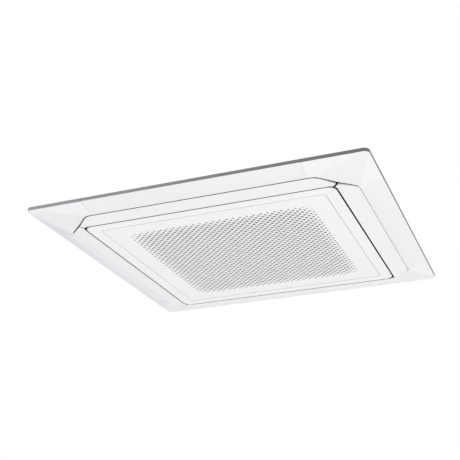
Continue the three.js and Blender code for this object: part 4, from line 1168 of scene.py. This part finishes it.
def make_camera():
    a, e, r = (math.radians(v) for v in (CAMERA_AZIMUTH, CAMERA_ELEVATION, CAMERA_ROLL))
    back = Vector((math.sin(a) * math.cos(e), -math.cos(a) * math.cos(e), math.sin(e)))
    right = Vector((0, 0, 1)).cross(back).normalized()
    up = back.cross(right)
    x = right * math.cos(r) + up * math.sin(r)
    y = up * math.cos(r) - right * math.sin(r)
    data = bpy.data.cameras.new("camera")
    data.lens = CAMERA_LENS
    data.sensor_width = 36.0
    data.clip_end = 200.0
    camera = linked("camera", data)
    camera.matrix_world = Matrix.Translation(CAMERA_PLACE) @ Matrix((x, y, back)).transposed().to_4x4()
    bpy.context.scene.camera = camera


# ---- Stage and light, in metres ----

PURE_WHITE = (1.0, 1.0, 1.0, 1.0)
FLOOR_WHITE = (0.93, 0.93, 0.93, 1.0)
FLOOR_SIZE, FLOOR_Z, FADE_START, FADE_END = 60.0, -3.7, 2.0, 9.0
CEILING_SIZE, CEILING_CUT, CEILING_Z = 30.0, 0.45, 0.0004


def make_world(strength):
    """Soft white light from all sides, in front of a plain white background."""
    world = bpy.data.worlds.new("studio")
    tree = Tree(world)
    soft, plain = tree.nodes["Background"], tree.node("ShaderNodeBackground")
    for background, power in ((soft, strength), (plain, 1.0)):
        tree.put(background.inputs["Color"], PURE_WHITE)
        tree.put(background.inputs["Strength"], power)
    tree.mix_shaders(tree.seen_directly(), soft, plain, "World Output")
    bpy.context.scene.world = world


def square(size):
    return [(-size, -size, 0), (size, -size, 0), (size, size, 0), (-size, size, 0)]


def stage_sheet(name, vertices, faces, z, material):
    mesh = bpy.data.meshes.new(name)
    mesh.from_pydata(vertices, [], faces)
    mesh.materials.append(material)
    made = linked(name, mesh)
    made.location.z = z
    return made


def make_ceiling():
    """A white ceiling seen from below only, cut out for the cabinet."""
    material = bpy.data.materials.new("ceiling_white")
    tree = Tree(material)
    tree.nodes.remove(tree.nodes["Principled BSDF"])
    facing = tree.node("ShaderNodeNewGeometry").outputs["Backfacing"]
    glow, clear = tree.node("ShaderNodeEmission"), tree.node("ShaderNodeBsdfTransparent")
    tree.mix_shaders(facing, glow, clear, "Material Output")
    faces = [(i, 4 + i, 4 + (i + 1) % 4, (i + 1) % 4) for i in range(4)]
    corners = square(CEILING_SIZE) + square(CEILING_CUT)
    ceiling = stage_sheet("ceiling", corners, faces, CEILING_Z, material)
    for ray in ("diffuse", "glossy", "shadow", "transmission"):
        setattr(ceiling, f"visible_{ray}", False)


def make_floor():
    """A pale room floor far below. It fades to the white background with distance."""
    g = Graph("floor_pale", FLOOR_WHITE, 0.9)
    length = g.node("ShaderNodeVectorMath", {0: g.place}, operation="LENGTH").outputs["Value"]
    seen = g.both(g.spread(length, FADE_START, FADE_END), g.seen_directly())
    g.mix_shaders(seen, g.shader, g.node("ShaderNodeEmission"), "Material Output")
    stage_sheet("floor", square(FLOOR_SIZE), [(0, 1, 2, 3)], FLOOR_Z, g.material)


def soft_lamp(name, place, target, size, power):
    data = bpy.data.lights.new(name, "AREA")
    data.shape = "SQUARE"
    data.size = size
    data.energy = power
    lamp = linked(name, data)
    lamp.matrix_world = pointing(Vector(place) - Vector(target), place)
    lamp.visible_camera = False


make_camera()
make_world(0.83)
make_ceiling()
make_floor()
soft_lamp("key_right", (3.2, -1.6, -2.2), (0, 0, 0), 2.4, 34)
soft_lamp("fill_front", (-0.8, -3.6, -1.9), (0, 0, 0), 2.6, 14.5)
soft_lamp("top_soft", (1.6, -2.2, 3.4), (0, 0, 0.1), 2.6, 30)

bpy.context.scene.view_settings.view_transform = "Standard"

bpy.context.view_layer.update()
